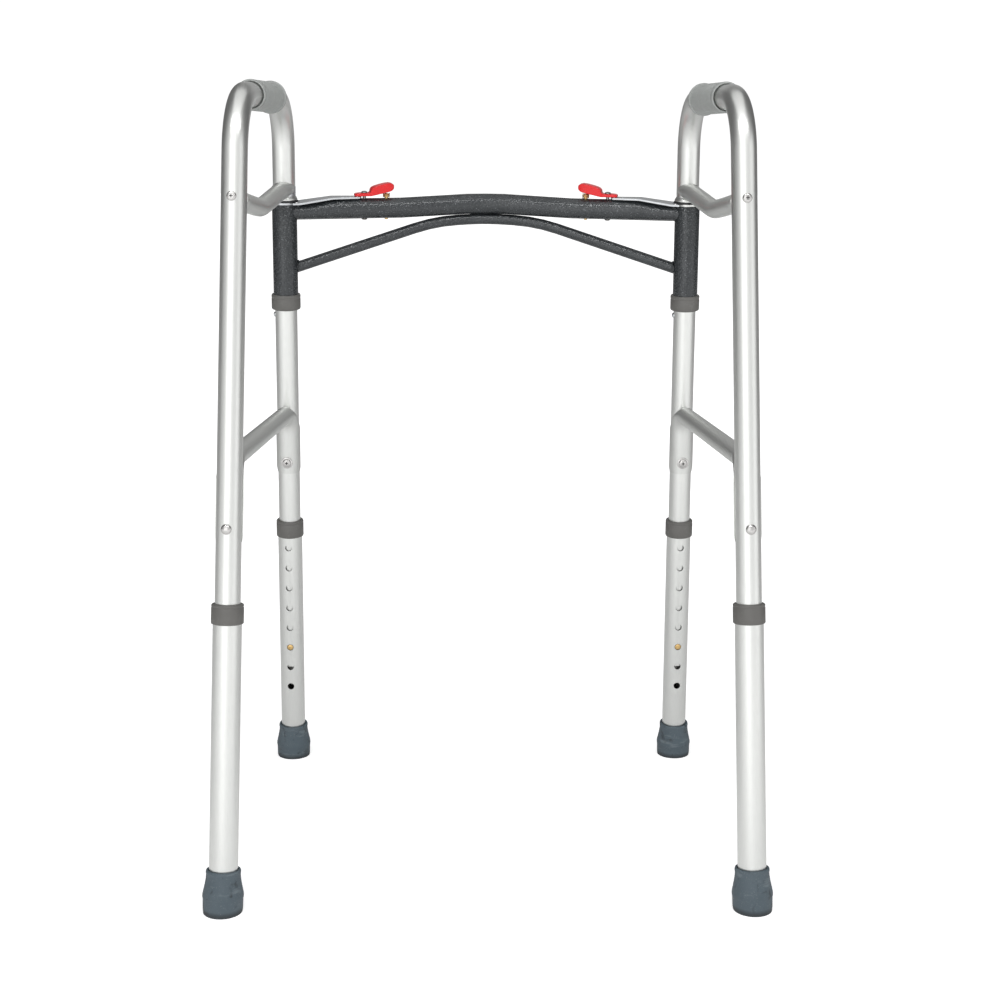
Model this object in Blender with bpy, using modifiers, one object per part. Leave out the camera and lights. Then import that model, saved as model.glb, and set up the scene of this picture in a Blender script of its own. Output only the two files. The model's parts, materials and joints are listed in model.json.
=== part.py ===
"""Folding walking frame: two hinged side frames on a bowed front crossbar, with four telescoping legs.

Metres, +Z up, +Y the way the user walks, +X to the user's right. The origin is on the floor under the
middle of the frame, and the user stands at -Y, between the side frames. Each side frame is a bent tube in
one flat plane, and it turns on its own front leg, inside a sleeve that the crossbar holds.
"""

import math

import bmesh
import bpy
from mathutils import Matrix, Vector

# Layout. Each side lies in a plane that toes out towards the rear and leans out towards the floor.
REF_Z = 0.750  # height at which HALF_WIDTH and LEG_RUN are given
HALF_WIDTH = 0.2294  # centre plane to the front leg's axis
HINGE_Y = 0.1512  # front leg's axis
LEG_RUN = 0.280  # front leg to rear leg, along Y
TOE_OUT = 0.063  # outward per metre towards the rear
LEAN_OUT = 0.0142  # outward per metre down
FRONT_RAKE = 0.090  # forward per metre down
REAR_RAKE = 0.120  # rearward per metre down
HANDLE_Z = 0.7975
HANDLE_BEND_R = 0.060
SIDES = {"left": -1, "right": 1}

# Tubes
GAP = 0.0003  # between pieces that touch
TUBE_R, TUBE_BORE_R = 0.0127, 0.0114
LOWER_R, LOWER_BORE_R = 0.0143, 0.0131
SLEEVE_R, SLEEVE_BORE_R = 0.0142, 0.0131
TUBE_SIDES = 20

# Height adjustment: eight holes, with the button in the sixth from the top
HOLE_COUNT, HOLES_ABOVE_BUTTON = 8, 5
HOLE_PITCH = 0.0254
HOLE_R = 0.0040
BUTTON_Z = 0.1466
BUTTON_R = 0.0034
TUBE_END_BELOW_BUTTON = 0.0254
LOWER_TUBE_Z = (0.0125, 0.3015)
LEG_COLLAR_Z = (0.2850, 0.3050)
LEG_COLLAR_R = 0.0161
TIP_TOP_Z = 0.0425
TIP_R, TIP_RIM_R = 0.0206, 0.0174

# Front frame: sleeves, crossbar and arch brace
SLEEVE_Z = (0.5665, 0.6800)
SLEEVE_COLLAR_Z = (0.5590, 0.5770)
SLEEVE_COLLAR_R = 0.0167
BAR_R, BAR_WALL = 0.0117, 0.0015
BAR_BELOW_SLEEVE_TOP = 0.0065
BAR_YAW = math.radians(12.7)  # each half runs forward towards the middle
BAR_BEND_R = 0.100
BAR_CLIMB_X, BAR_CLIMB = 0.135, 0.004  # past this point the bar climbs a little to its middle
BAR_PRESSED_X = (0.024, 0.062)  # over this stretch the pressed end comes up to full height
PLATE_RAMP_X = (0.0165, 0.0545)  # and the plate a little sooner, so that it clears the bar as it swings
ARCH_R = 0.0062
ARCH_START_DROP = 0.0745  # arch brace's end below the sleeve's top
ARCH_CORNER_X = 0.176
ARCH_BEND_R = 0.200

# Braces
UPPER_BRACE_Z, UPPER_BRACE_DIP = 0.6985, 0.0165
UPPER_BRACE_R = 0.0098
LOWER_BRACE_Z = {"rear": 0.4465, "front": 0.4390}
LOWER_BRACE_R = 0.0102
BRACE_WALL = 0.0014
SADDLE_R = 0.0142
SADDLE_Z = 0.3650
SADDLE_SCREW_Z = 0.3785
SCREW_HEAD_R, SADDLE_HEAD_R = 0.0049, 0.0068
SCREW_R, BARREL_R, BARREL_TIP = 0.0023, 0.0032, 0.0120

# Fold catch, in the bar's own frame: X from the leg's axis along the bar, Z up from the sleeve's top
PLATE_T = 0.0020
PLATE_END_X = 0.088
PIVOT_X, PIN_X, PADDLE_END_X = 0.0920, 0.1176, 0.1260
PADDLE_BEND_X, PADDLE_THICK = 0.1000, 0.0104
LEVER_T = 0.0032
LEVER_HALF_W = 0.0066
PADDLE_TILT = math.radians(13)
RIVET_R, PIN_R = 0.0020, 0.0024

GRIP_LENGTH = 0.120
GRIP_R = 0.0167

COLOURS = {  # base colour, metallic, roughness
    "anodised": ((0.72, 0.73, 0.72, 1), 1.0, 0.35),
    "hammertone": ((0.05, 0.056, 0.062, 1), 0.6, 0.45),
    "zinc": ((0.62, 0.64, 0.66, 1), 1.0, 0.3),
    "brass": ((0.78, 0.56, 0.28, 1), 1.0, 0.3),
    "red_plastic": ((0.72, 0.03, 0.03, 1), 0.0, 0.35),
    "grey_plastic": ((0.14, 0.14, 0.135, 1), 0.0, 0.5),
    "black_plastic": ((0.02, 0.02, 0.02, 1), 0.0, 0.5),
    "grip": ((0.22, 0.25, 0.27, 1), 0.0, 0.7),
    "rubber": ((0.10, 0.125, 0.145, 1), 0.0, 0.8),
}


# ---------------------------------------------------------------- scene and object helpers


def clear_scene():
    for piece in list(bpy.data.objects):
        bpy.data.objects.remove(piece)


def new_collection(name):
    collection = bpy.data.collections.new(name)
    bpy.context.scene.collection.children.link(collection)
    return collection


def make_material(name):
    colour, metallic, roughness = COLOURS[name]
    material = bpy.data.materials.new(name)
    material.use_nodes = True
    shader = material.node_tree.nodes["Principled BSDF"]
    shader.inputs["Base Color"].default_value = colour
    shader.inputs["Metallic"].default_value = metallic
    shader.inputs["Roughness"].default_value = roughness
    return material


def add_part(name, mesh, place, material, pivot=None):
    """A sub-part at its place in the world, held by its pivot if it has one."""
    part = bpy.data.objects.new(name, mesh)
    PARTS.objects.link(part)
    mesh.materials.clear()
    mesh.materials.append(MATERIALS[material])
    mesh.shade_smooth()
    mesh.set_sharp_from_angle(angle=math.radians(35))
    if pivot:
        part.parent = pivot
        part.matrix_basis = pivot.matrix_world.inverted() @ place
    else:
        part.matrix_basis = place
    return part


def add_pivot(name, place, parent=None):
    """An empty on a joint's axis."""
    pivot = bpy.data.objects.new(name, None)
    PARTS.objects.link(pivot)
    if parent:
        pivot.parent = parent
        pivot.matrix_basis = parent.matrix_world.inverted() @ place
    else:
        pivot.matrix_basis = place
    bpy.context.view_layer.update()
    return pivot


def combine(part, mesh, place, operation="DIFFERENCE"):
    """Cuts a mesh out of a part, or joins it to the part."""
    tool = bpy.data.objects.new(f"{part.name}_{operation.lower()}", mesh)
    CUTTERS.objects.link(tool)
    tool.matrix_basis = place
    tool.hide_render = True
    tool.display_type = "WIRE"
    boolean = part.modifiers.new(operation.title(), "BOOLEAN")
    boolean.operation = operation
    boolean.object = tool
    return tool


# ---------------------------------------------------------------- mesh helpers


def mesh_from(build):
    """A mesh made by a function that fills a bmesh."""
    shape = bmesh.new()
    build(shape)
    mesh = bpy.data.meshes.new("shape")
    shape.to_mesh(mesh)
    shape.free()
    return mesh


def cylinder(radius, low, high, segments=16, axis="Z", centres=((0.0, 0.0),)):
    """Cylinders from low to high along an axis, one for each centre on the other two axes."""
    turn = {"X": Matrix.Rotation(math.pi / 2, 4, "Y"), "Z": Matrix.Identity(4)}[axis]

    def build(shape):
        for first, second in centres:
            middle = (low + high) / 2
            at = (middle, first, second) if axis == "X" else (first, second, middle)
            place = Matrix.Translation(at) @ turn
            bmesh.ops.create_cone(
                shape,
                cap_ends=True,
                segments=segments,
                radius1=radius,
                radius2=radius,
                depth=high - low,
                matrix=place,
            )

    return mesh_from(build)


def box(low, high):
    size = [b - a for a, b in zip(low, high)]
    middle = [(a + b) / 2 for a, b in zip(low, high)]
    place = Matrix.Translation(middle) @ Matrix.Diagonal((*size, 1.0))
    return mesh_from(lambda shape: bmesh.ops.create_cube(shape, size=1.0, matrix=place))


def turned(profile, steps, closed=False):
    """The mesh of a profile of (radius, height) turned about Z, read down its outer side."""
    mesh = bpy.data.meshes.new("profile")
    count = len(profile)
    edges = [(i, i + 1) for i in range(count - 1)]
    if closed:
        edges.append((count - 1, 0))
    mesh.from_pydata([(radius, 0.0, height) for radius, height in profile], edges, [])
    spun = bpy.data.objects.new("spun", mesh)
    CUTTERS.objects.link(spun)
    screw = spun.modifiers.new("Turn", "SCREW")
    screw.steps = screw.render_steps = steps
    screw.use_merge_vertices = True
    screw.merge_threshold = 0.00001
    return evaluated(spun)


def evaluated(source):
    """The source object's finished mesh, with its doubled points merged. The source is removed."""
    graph = bpy.context.evaluated_depsgraph_get()
    mesh = bpy.data.meshes.new_from_object(source.evaluated_get(graph))
    shape = bmesh.new()
    shape.from_mesh(mesh)
    bmesh.ops.remove_doubles(shape, verts=shape.verts, dist=0.00001)
    shape.to_mesh(mesh)
    shape.free()
    bpy.data.objects.remove(source)
    return mesh


def rod(points, radius, sides=TUBE_SIDES):
    """A round bar along a path."""
    curve = bpy.data.curves.new("path", "CURVE")
    curve.dimensions = "3D"
    curve.bevel_depth = radius
    curve.bevel_resolution = (sides - 4) // 2
    curve.render_resolution_u = 0
    curve.use_fill_caps = True
    spline = curve.splines.new("POLY")
    spline.points.add(len(points) - 1)
    for point, place in zip(spline.points, points):
        point.co = (*place, 1.0)
    path = bpy.data.objects.new("path", curve)
    CUTTERS.objects.link(path)
    return evaluated(path)


def slab(outline, thickness):
    """A flat outline in XY, with its thickness up from Z = 0."""
    curve = bpy.data.curves.new("outline", "CURVE")
    curve.dimensions = "2D"
    curve.fill_mode = "BOTH"
    curve.extrude = thickness / 2
    curve.render_resolution_u = 0
    spline = curve.splines.new("POLY")
    spline.points.add(len(outline) - 1)
    spline.use_cyclic_u = True
    for point, (x, y) in zip(spline.points, outline):
        point.co = (x, y, 0.0, 1.0)
    flat = bpy.data.objects.new("outline", curve)
    CUTTERS.objects.link(flat)
    mesh = evaluated(flat)
    mesh.transform(Matrix.Translation((0, 0, thickness / 2)))
    return mesh


def loft(rings):
    """A solid through rings of points, with a flat face on each end."""

    def build(shape):
        rows = [[shape.verts.new(point) for point in ring] for ring in rings]
        for row, following in zip(rows, rows[1:]):
            for i in range(len(row)):
                j = (i + 1) % len(row)
                shape.faces.new((row[i], row[j], following[j], following[i]))
        shape.faces.new(rows[0][::-1])
        shape.faces.new(rows[-1])
        bmesh.ops.recalc_face_normals(shape, faces=shape.faces)

    return mesh_from(build)


def arc(centre, radius, start, end, steps):
    """Points of an arc in a plane, with both ends, for angles in degrees."""
    turns = [math.radians(start + (end - start) * i / steps) for i in range(steps + 1)]
    return [(centre[0] + radius * math.cos(a), centre[1] + radius * math.sin(a)) for a in turns]


def rounded_path(corners, radii, step=math.radians(15)):
    """The corners joined by straight runs, with each inner corner rounded to its radius."""
    path = [corners[0]]
    for before, corner, after, radius in zip(corners, corners[1:], corners[2:], radii):
        back, ahead = (before - corner).normalized(), (after - corner).normalized()
        half = back.angle(ahead) / 2
        turn = math.pi - 2 * half
        middle = corner + (back + ahead).normalized() * (radius / math.sin(half))
        first = corner + back * (radius / math.tan(half)) - middle
        last = corner + ahead * (radius / math.tan(half)) - middle
        steps = max(2, round(turn / step))
        for i in range(steps + 1):
            t = i / steps
            spread = math.sin(turn)
            near, far = math.sin((1 - t) * turn) / spread, math.sin(t * turn) / spread
            path.append(middle + first * near + last * far)
    return [*path, corners[-1]]


def lengthened(path, extra):
    """The path with both ends pushed out."""
    head = path[0] + (path[0] - path[1]).normalized() * extra
    tail = path[-1] + (path[-1] - path[-2]).normalized() * extra
    return [head, *path[1:-1], tail]


def frame_matrix(origin, up, along):
    """A placement whose Z is up and whose X is the part of along that is square to it."""
    up = up.normalized()
    across = up.cross(along).normalized()
    matrix = Matrix((across.cross(up), across, up)).transposed().to_4x4()
    matrix.translation = origin
    return matrix


# ---------------------------------------------------------------- where things are


def side_point(side, run, z):
    """A point in a side's plane, at a distance behind the hinge and a height."""
    out = HALF_WIDTH + LEAN_OUT * (REF_Z - z) + TOE_OUT * run
    return Vector((SIDES[side] * out, HINGE_Y - run, z))


def leg_point(side, end, z):
    """A point on a leg's axis."""
    drop = REF_Z - z
    run = -FRONT_RAKE * drop if end == "front" else LEG_RUN + REAR_RAKE * drop
    return side_point(side, run, z)


def leg_frame(side, end, z):
    """Z up the leg, and X in the side's plane, towards the side's other leg."""
    other = "rear" if end == "front" else "front"
    up = leg_point(side, end, z + 1) - leg_point(side, end, z)
    return frame_matrix(leg_point(side, end, z), up, leg_point(side, other, z) - leg_point(side, end, z))


def along_leg(side, end, z, base=BUTTON_Z):
    """How far up the leg's axis a height is from a base height."""
    stretch = (leg_point(side, end, 1.0) - leg_point(side, end, 0.0)).length
    return (z - base) * stretch


def bar_frame(side):
    """The crossbar half's frame: origin on the leg's axis at the sleeve's top, X to the bar's middle."""
    top = SLEEVE_Z[1]
    up = leg_point(side, "front", top + 1) - leg_point(side, "front", top)
    heading = Vector((-SIDES[side] * math.cos(BAR_YAW), math.sin(BAR_YAW), 0.0))
    return frame_matrix(leg_point(side, "front", top), up, heading)


def bar_length(side):
    """From the leg's axis to the frame's centre plane, along the bar."""
    place = bar_frame(side)
    return -place.translation.x / place.col[0].x


def bar_rise(x, stretch=BAR_PRESSED_X):
    """Height of the bar's top above the sleeve's top, which the pressed end brings down to nothing."""
    low, high = stretch
    full = BAR_R - BAR_BELOW_SLEEVE_TOP
    return full * min(1.0, max(0.0, (x - low) / (high - low)))


def bar_point(side, x, z):
    return bar_frame(side) @ Vector((x, 0.0, z))


# ---------------------------------------------------------------- front frame


def press_bar_ends(mesh):
    """Lowers the bar's top near each sleeve, as a press does before welding."""
    frames = {side: bar_frame(side) for side in SIDES}
    inverses = {side: place.inverted() for side, place in frames.items()}
    bottom = -BAR_BELOW_SLEEVE_TOP - BAR_R
    for vertex in mesh.vertices:
        side = "left" if vertex.co.x < 0 else "right"
        spot = inverses[side] @ vertex.co
        height = bar_rise(spot.x) - bottom
        spot.z = bottom + (spot.z - bottom) * height / (2 * BAR_R)
        vertex.co = frames[side] @ spot


def bar_path(z, extra_x=()):
    """The crossbar's line at a height in its frame, bent in the middle."""
    left = [bar_point("left", x, z) for x in (0.0, *extra_x)]
    right = [bar_point("right", x, z) for x in (0.0, *extra_x)]
    middle = bar_point("left", bar_length("left"), z + BAR_CLIMB)
    bend = rounded_path([left[-1], middle, right[-1]], [BAR_BEND_R], math.radians(4))
    return [*left[:-1], *bend, *right[:-1][::-1]]


def make_crossbar():
    path = bar_path(-BAR_BELOW_SLEEVE_TOP, (*BAR_PRESSED_X, BAR_CLIMB_X))
    mesh, bore = rod(path, BAR_R), rod(path, BAR_R - BAR_WALL, 14)
    press_bar_ends(mesh)
    press_bar_ends(bore)
    bar = add_part("front_crossbar", mesh, Matrix(), "hammertone")
    combine(bar, bore, Matrix())
    for side in SIDES:
        combine(bar, cylinder(SLEEVE_R + GAP, -0.05, 0.05, 32), bar_frame(side))
        holes = ((PIVOT_X, RIVET_R + GAP), (PIN_X, PIN_R + GAP))
        for x, radius in holes:
            place = bar_frame(side) @ Matrix.Translation((x, 0, 0))
            combine(bar, cylinder(radius, -0.04, 0.03, 10), place)


def make_arch_brace():
    """The thin tube from sleeve to sleeve that holds up the middle of the crossbar."""
    flat = -BAR_BELOW_SLEEVE_TOP - BAR_R - ARCH_R - GAP
    length = bar_length("left")
    climb = BAR_CLIMB * (ARCH_CORNER_X - BAR_CLIMB_X) / (length - BAR_CLIMB_X)
    corners = [
        bar_point("left", SLEEVE_R - 0.006, -ARCH_START_DROP),
        bar_point("left", ARCH_CORNER_X, flat + climb),
        bar_point("left", length, flat + BAR_CLIMB),
        bar_point("right", ARCH_CORNER_X, flat + climb),
        bar_point("right", SLEEVE_R - 0.006, -ARCH_START_DROP),
    ]
    path = rounded_path(corners, [ARCH_BEND_R, BAR_BEND_R, ARCH_BEND_R], math.radians(6))
    brace = add_part("front_arch_brace", rod(path, ARCH_R, 12), Matrix(), "hammertone")
    for side in SIDES:
        combine(brace, cylinder(SLEEVE_R + GAP, -0.12, 0.0, 32), bar_frame(side))


def make_sleeve(side):
    place = leg_frame(side, "front", SLEEVE_Z[1])
    length = along_leg(side, "front", SLEEVE_Z[1], SLEEVE_Z[0])
    sleeve = add_part(f"hinge_sleeve_{side}", cylinder(SLEEVE_R, -length, 0.0, 32), place, "hammertone")
    combine(sleeve, cylinder(SLEEVE_BORE_R, -length - 0.01, 0.01, 32), place)


def make_sleeve_collar(side):
    """The plastic bush on the sleeve's lower end."""
    base = SLEEVE_COLLAR_Z[0]
    top = along_leg(side, "front", SLEEVE_COLLAR_Z[1], base)
    shelf = along_leg(side, "front", SLEEVE_Z[0], base) - GAP
    edge, radius = 0.0015, SLEEVE_COLLAR_R
    profile = [
        (SLEEVE_R + GAP, top),
        (radius - edge, top),
        (radius, top - edge),
        (radius, edge),
        (radius - edge, 0.0),
        (SLEEVE_BORE_R, 0.0),
        (SLEEVE_BORE_R, shelf),
        (SLEEVE_R + GAP, shelf),
    ]
    collar = turned(profile, 22, closed=True)
    add_part(f"sleeve_collar_{side}", collar, leg_frame(side, "front", base), "grey_plastic")


# ---------------------------------------------------------------- fold catch


def plate_top(x):
    return GAP + bar_rise(x) + PLATE_T


def make_hinge_plate(side, pivot):
    """The strip that turns with the side frame and lies along the crossbar, over the sleeve."""
    pad, tip, nose = 0.0172, 0.0070, 0.003
    outline = [*arc((0, 0), pad, 62, 298, 12)]
    start = PLATE_END_X - nose
    outline += [(start, -tip), *arc((start, 0), nose, -60, 60, 4), (start, tip)]
    mesh = slab(outline, PLATE_T)
    shape = bmesh.new()
    shape.from_mesh(mesh)
    for x in PLATE_RAMP_X:
        everything = [*shape.verts, *shape.edges, *shape.faces]
        bmesh.ops.bisect_plane(shape, geom=everything, plane_co=(x, 0, 0), plane_no=(1, 0, 0))
    for vertex in shape.verts:
        vertex.co.z += GAP + bar_rise(vertex.co.x, PLATE_RAMP_X)
    shape.to_mesh(mesh)
    shape.free()
    plate = add_part(f"hinge_plate_{side}", mesh, bar_frame(side), "zinc", pivot)
    combine(plate, cylinder(TUBE_R + GAP, -0.02, 0.02, 22), bar_frame(side))


def make_hinge_washer(side, pivot):
    low = GAP + PLATE_T + GAP
    washer = add_part(
        f"hinge_washer_{side}", cylinder(0.0158, low, low + 0.0022, 22), bar_frame(side), "black_plastic", pivot
    )
    combine(washer, cylinder(TUBE_R + GAP, -0.02, 0.02, 22), bar_frame(side))


def make_lever(side, pivot):
    """Thin nose over the plate's end, a hole for the rivet, and a thick paddle that slopes up."""
    nose, under = 0.0808, plate_top(PLATE_END_X) + 0.0004
    bend, thick = PADDLE_BEND_X, PADDLE_THICK
    run, rise = PADDLE_END_X - bend, math.tan(PADDLE_TILT)
    profile = [
        (nose, under),
        (bend, under),
        (bend + run, under + run * rise),
        (bend + run + 0.0012, under + run * rise + 0.0042),
        (bend + run - 0.0015, under + run * rise + thick),
        (bend + 0.003, under + 0.003 * rise + thick),
        (bend - 0.0005, under + LEVER_T + 0.002),
        (bend - 0.0015, under + LEVER_T),
        (nose + 0.003, under + LEVER_T),
        (nose, under + 0.0016),
    ]
    mesh = slab(profile, 2 * LEVER_HALF_W)
    stand = Matrix.Rotation(math.pi / 2, 4, "X")
    mesh.transform(Matrix.Translation((0, LEVER_HALF_W, 0)) @ stand)
    lever = add_part(f"release_lever_{side}", mesh, bar_frame(side), "red_plastic", pivot)
    hole = bar_frame(side) @ Matrix.Translation((PIVOT_X, 0, 0))
    combine(lever, cylinder(RIVET_R + 0.0008, -0.02, 0.03, 12), hole)


def make_lever_rivet(side):
    top = plate_top(PLATE_END_X) + 0.0004 + LEVER_T + 0.0008
    bottom = -BAR_BELOW_SLEEVE_TOP - BAR_R
    head, tail, dome = 0.0038, 0.0034, 0.0016
    profile = [(0.0, top + dome), (head * 0.6, top + dome * 0.75), (head, top), (RIVET_R, top)]
    profile += [(RIVET_R, bottom - GAP), (tail, bottom - GAP)]
    profile += [(tail * 0.6, bottom - 0.0016), (0.0, bottom - 0.002)]
    place = bar_frame(side) @ Matrix.Translation((PIVOT_X, 0, 0))
    add_part(f"lever_rivet_{side}", turned(profile, 14), place, "zinc")


def paddle_underside(x):
    return plate_top(PLATE_END_X) + 0.0004 + (x - PADDLE_BEND_X) * math.tan(PADDLE_TILT)


def make_lever_pin(side, pivot):
    """The brass pin that the paddle pushes down through the crossbar."""
    top = paddle_underside(PIN_X - 0.0045) - GAP
    bottom = -BAR_BELOW_SLEEVE_TOP - BAR_R - 0.0018
    profile = [
        (0.0, top),
        (PIN_R, top),
        (PIN_R, bottom + 0.0008),
        (PIN_R - 0.0008, bottom),
        (0.0, bottom),
    ]
    place = bar_frame(side) @ Matrix.Translation((PIN_X, 0, 0))
    add_part(f"lever_pin_{side}", turned(profile, 12), place, "brass", pivot)


def make_lever_spring(side):
    """The coil between the crossbar and the paddle."""
    coil_r, wire_r, turns = 0.0037, 0.00045, 4
    low = bar_rise(PIN_X) + wire_r + GAP
    high = paddle_underside(PIN_X - coil_r) - wire_r - GAP
    points = []
    for i in range(turns * 8 + 1):
        angle = 2 * math.pi * i / 8
        height = low + (high - low) * i / (turns * 8)
        points.append(Vector((coil_r * math.cos(angle), coil_r * math.sin(angle), height)))
    place = bar_frame(side) @ Matrix.Translation((PIN_X, 0, 0))
    add_part(f"lever_spring_{side}", rod(points, wire_r, 4), place, "brass")


# ---------------------------------------------------------------- side frame


def side_tube_path(side):
    """The tube's line: up the rear leg, along the handle and down the front leg."""
    end_z = BUTTON_Z - TUBE_END_BELOW_BUTTON
    corners = [
        leg_point(side, "rear", end_z),
        leg_point(side, "rear", HANDLE_Z),
        leg_point(side, "front", HANDLE_Z),
        leg_point(side, "front", end_z),
    ]
    return rounded_path(corners, [HANDLE_BEND_R, HANDLE_BEND_R])


def make_side_tube(side, pivot):
    path = side_tube_path(side)
    tube = add_part(f"side_frame_tube_{side}", rod(path, TUBE_R), Matrix(), "anodised", pivot)
    low = GAP + PLATE_T + GAP + 0.0022 + GAP
    bead = [(0.0121, low + 0.005), (0.0133, low + 0.005), (0.0149, low + 0.002), (0.0149, low), (0.0121, low)]
    combine(tube, turned(bead, 20, closed=True), bar_frame(side), "UNION")
    combine(tube, rod(lengthened(path, 0.003), TUBE_BORE_R, 14), Matrix())
    for end in ("front", "rear"):
        upper, lower = leg_frame(side, end, UPPER_BRACE_Z), leg_frame(side, end, SADDLE_SCREW_Z)
        combine(tube, cylinder(SCREW_R + GAP, -0.02, 0.02, 10, "X"), upper)
        combine(tube, cylinder(BARREL_R + GAP, -0.02, 0.02, 12, "X"), lower)
        button = leg_frame(side, end, BUTTON_Z)
        combine(tube, cylinder(BUTTON_R + GAP, 0.005, 0.02, 12, "X"), button)


def make_grip(side, pivot):
    """The moulded sleeve on the handle, a little thicker at its front end."""
    corner = {end: leg_point(side, end, HANDLE_Z) for end in ("front", "rear")}
    middle = (corner["front"] + corner["rear"]) / 2
    half = GRIP_LENGTH / 2
    bore = TUBE_R + GAP
    profile = [
        (bore, half),
        (GRIP_R - 0.001, half),
        (GRIP_R + 0.0004, half - 0.003),
        (GRIP_R - 0.0002, half - 0.020),
        (GRIP_R - 0.0006, -half + 0.020),
        (GRIP_R - 0.0006, -half + 0.003),
        (GRIP_R - 0.002, -half),
        (bore, -half),
    ]
    place = frame_matrix(middle, corner["front"] - corner["rear"], Vector((0, 0, 1)))
    add_part(f"hand_grip_{side}", turned(profile, 24, closed=True), place, "grip", pivot)


def brace_frame(side, z):
    """Origin on the rear leg, X level in the side's plane to the front leg, Z up."""
    rear, front = leg_point(side, "rear", z), leg_point(side, "front", z)
    across = frame_matrix(rear, Vector((0, 0, 1)), front - rear)
    return across, (front - rear).length


def upper_brace_ring(x, length, radius, sides):
    """A ring of the upper brace: round in the middle, wide and low where it meets the legs."""
    near_end = min(x, length - x)
    spread = max(0.0, 1.0 - (near_end - 0.012) / 0.028)
    spread = min(1.0, spread)
    wide, tall = 1.0 + 0.30 * spread, 1.0 - 0.12 * spread
    level = abs(x / length - 0.48) / 0.48
    dip = UPPER_BRACE_DIP * max(0.0, 1.0 - level)
    ring = []
    for i in range(sides):
        angle = 2 * math.pi * i / sides
        ring.append((x, radius * wide * math.sin(angle), radius * tall * math.cos(angle) - dip))
    return ring


def make_upper_brace(side, pivot):
    place, length = brace_frame(side, UPPER_BRACE_Z)
    lip, plug = 0.0045, 0.022
    stations = [lip, 0.014, 0.026, 0.040, 0.090, 0.120, 0.128, 0.136, 0.144, 0.174]
    stations += [length - x for x in (0.040, 0.026, 0.014, lip)]
    outer = [upper_brace_ring(x, length, UPPER_BRACE_R, 16) for x in stations]
    inner_stations = [plug, *[x for x in stations if plug < x < length - plug], length - plug]
    inner = [upper_brace_ring(x, length, UPPER_BRACE_R - BRACE_WALL, 12) for x in inner_stations]
    brace = add_part(f"upper_brace_{side}", loft(outer), place, "anodised", pivot)
    combine(brace, loft(inner), place)
    for end in ("front", "rear"):
        at = leg_frame(side, end, UPPER_BRACE_Z)
        combine(brace, cylinder(TUBE_R + GAP, -0.05, 0.05, 32), at)
        combine(brace, cylinder(SCREW_R + GAP, 0.0, 0.030, 10, "X"), at)


def saddle_ring(height, blend, sides):
    """A ring of the lower brace's end: a half round against the leg, blended towards the tube's circle."""
    chord = 0.0015
    ring = []
    for i in range(sides):
        angle = 2 * math.pi * i / sides
        half = (max(SADDLE_R * math.cos(angle), chord), SADDLE_R * math.sin(angle))
        full = (0.0100 + LOWER_BRACE_R * math.cos(angle), LOWER_BRACE_R * math.sin(angle))
        x, y = (h + (f - h) * blend for h, f in zip(half, full))
        ring.append(Vector((x, y, height)))
    return ring


def lower_brace_end(side, end, sides):
    """World rings from the saddle's lower edge up into the brace's straight run."""
    level = LOWER_BRACE_Z[end]
    place = leg_frame(side, end, level)
    foot = along_leg(side, end, SADDLE_Z, level)
    rings = [[place @ p for p in saddle_ring(h, 0.0, sides)] for h in (foot, -0.040, -0.030)]
    bend_r, turn_x = 0.020, 0.0100
    for degrees, blend in ((0, 0.25), (25, 0.5), (50, 0.75), (72, 0.95), (90, 1.0)):
        angle = math.radians(degrees)
        hub = Vector((turn_x + bend_r, 0, -bend_r))
        centre = hub + Vector((-math.cos(angle), 0, math.sin(angle))) * bend_r
        ring = []
        for point in saddle_ring(0.0, blend, sides):
            out = point.x - turn_x
            offset = Vector((math.cos(angle), 0, -math.sin(angle))) * out
            ring.append(place @ (centre + offset + Vector((0, point.y, 0))))
        rings.append(ring)
    return rings


def make_lower_brace(side, pivot):
    """A tube between the legs whose ends turn down and hug them as saddles."""
    sides = 16
    rear = lower_brace_end(side, "rear", sides)
    front = lower_brace_end(side, "front", sides)
    mirrored = [[ring[(sides - i) % sides] for i in range(sides)] for ring in front]
    brace = add_part(f"lower_brace_{side}", loft(rear + mirrored[::-1]), Matrix(), "anodised", pivot)
    ends = [sum(rings[-1], Vector()) / sides for rings in (rear, front)]
    void = [ends[0].lerp(ends[1], 0.04), ends[0].lerp(ends[1], 0.96)]
    combine(brace, rod(void, LOWER_BRACE_R - BRACE_WALL, 12), Matrix())
    drain = Matrix.Translation(void[0].lerp(void[1], 0.05))
    combine(brace, cylinder(0.0016, -0.015, 0.0, 8), drain)
    for end in ("front", "rear"):
        combine(brace, cylinder(TUBE_R + GAP, -0.16, 0.10, 32), leg_frame(side, end, SADDLE_SCREW_Z + 0.03))
        combine(brace, cylinder(SCREW_R + GAP, 0.0, 0.03, 10, "X"), leg_frame(side, end, SADDLE_SCREW_Z))


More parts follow.
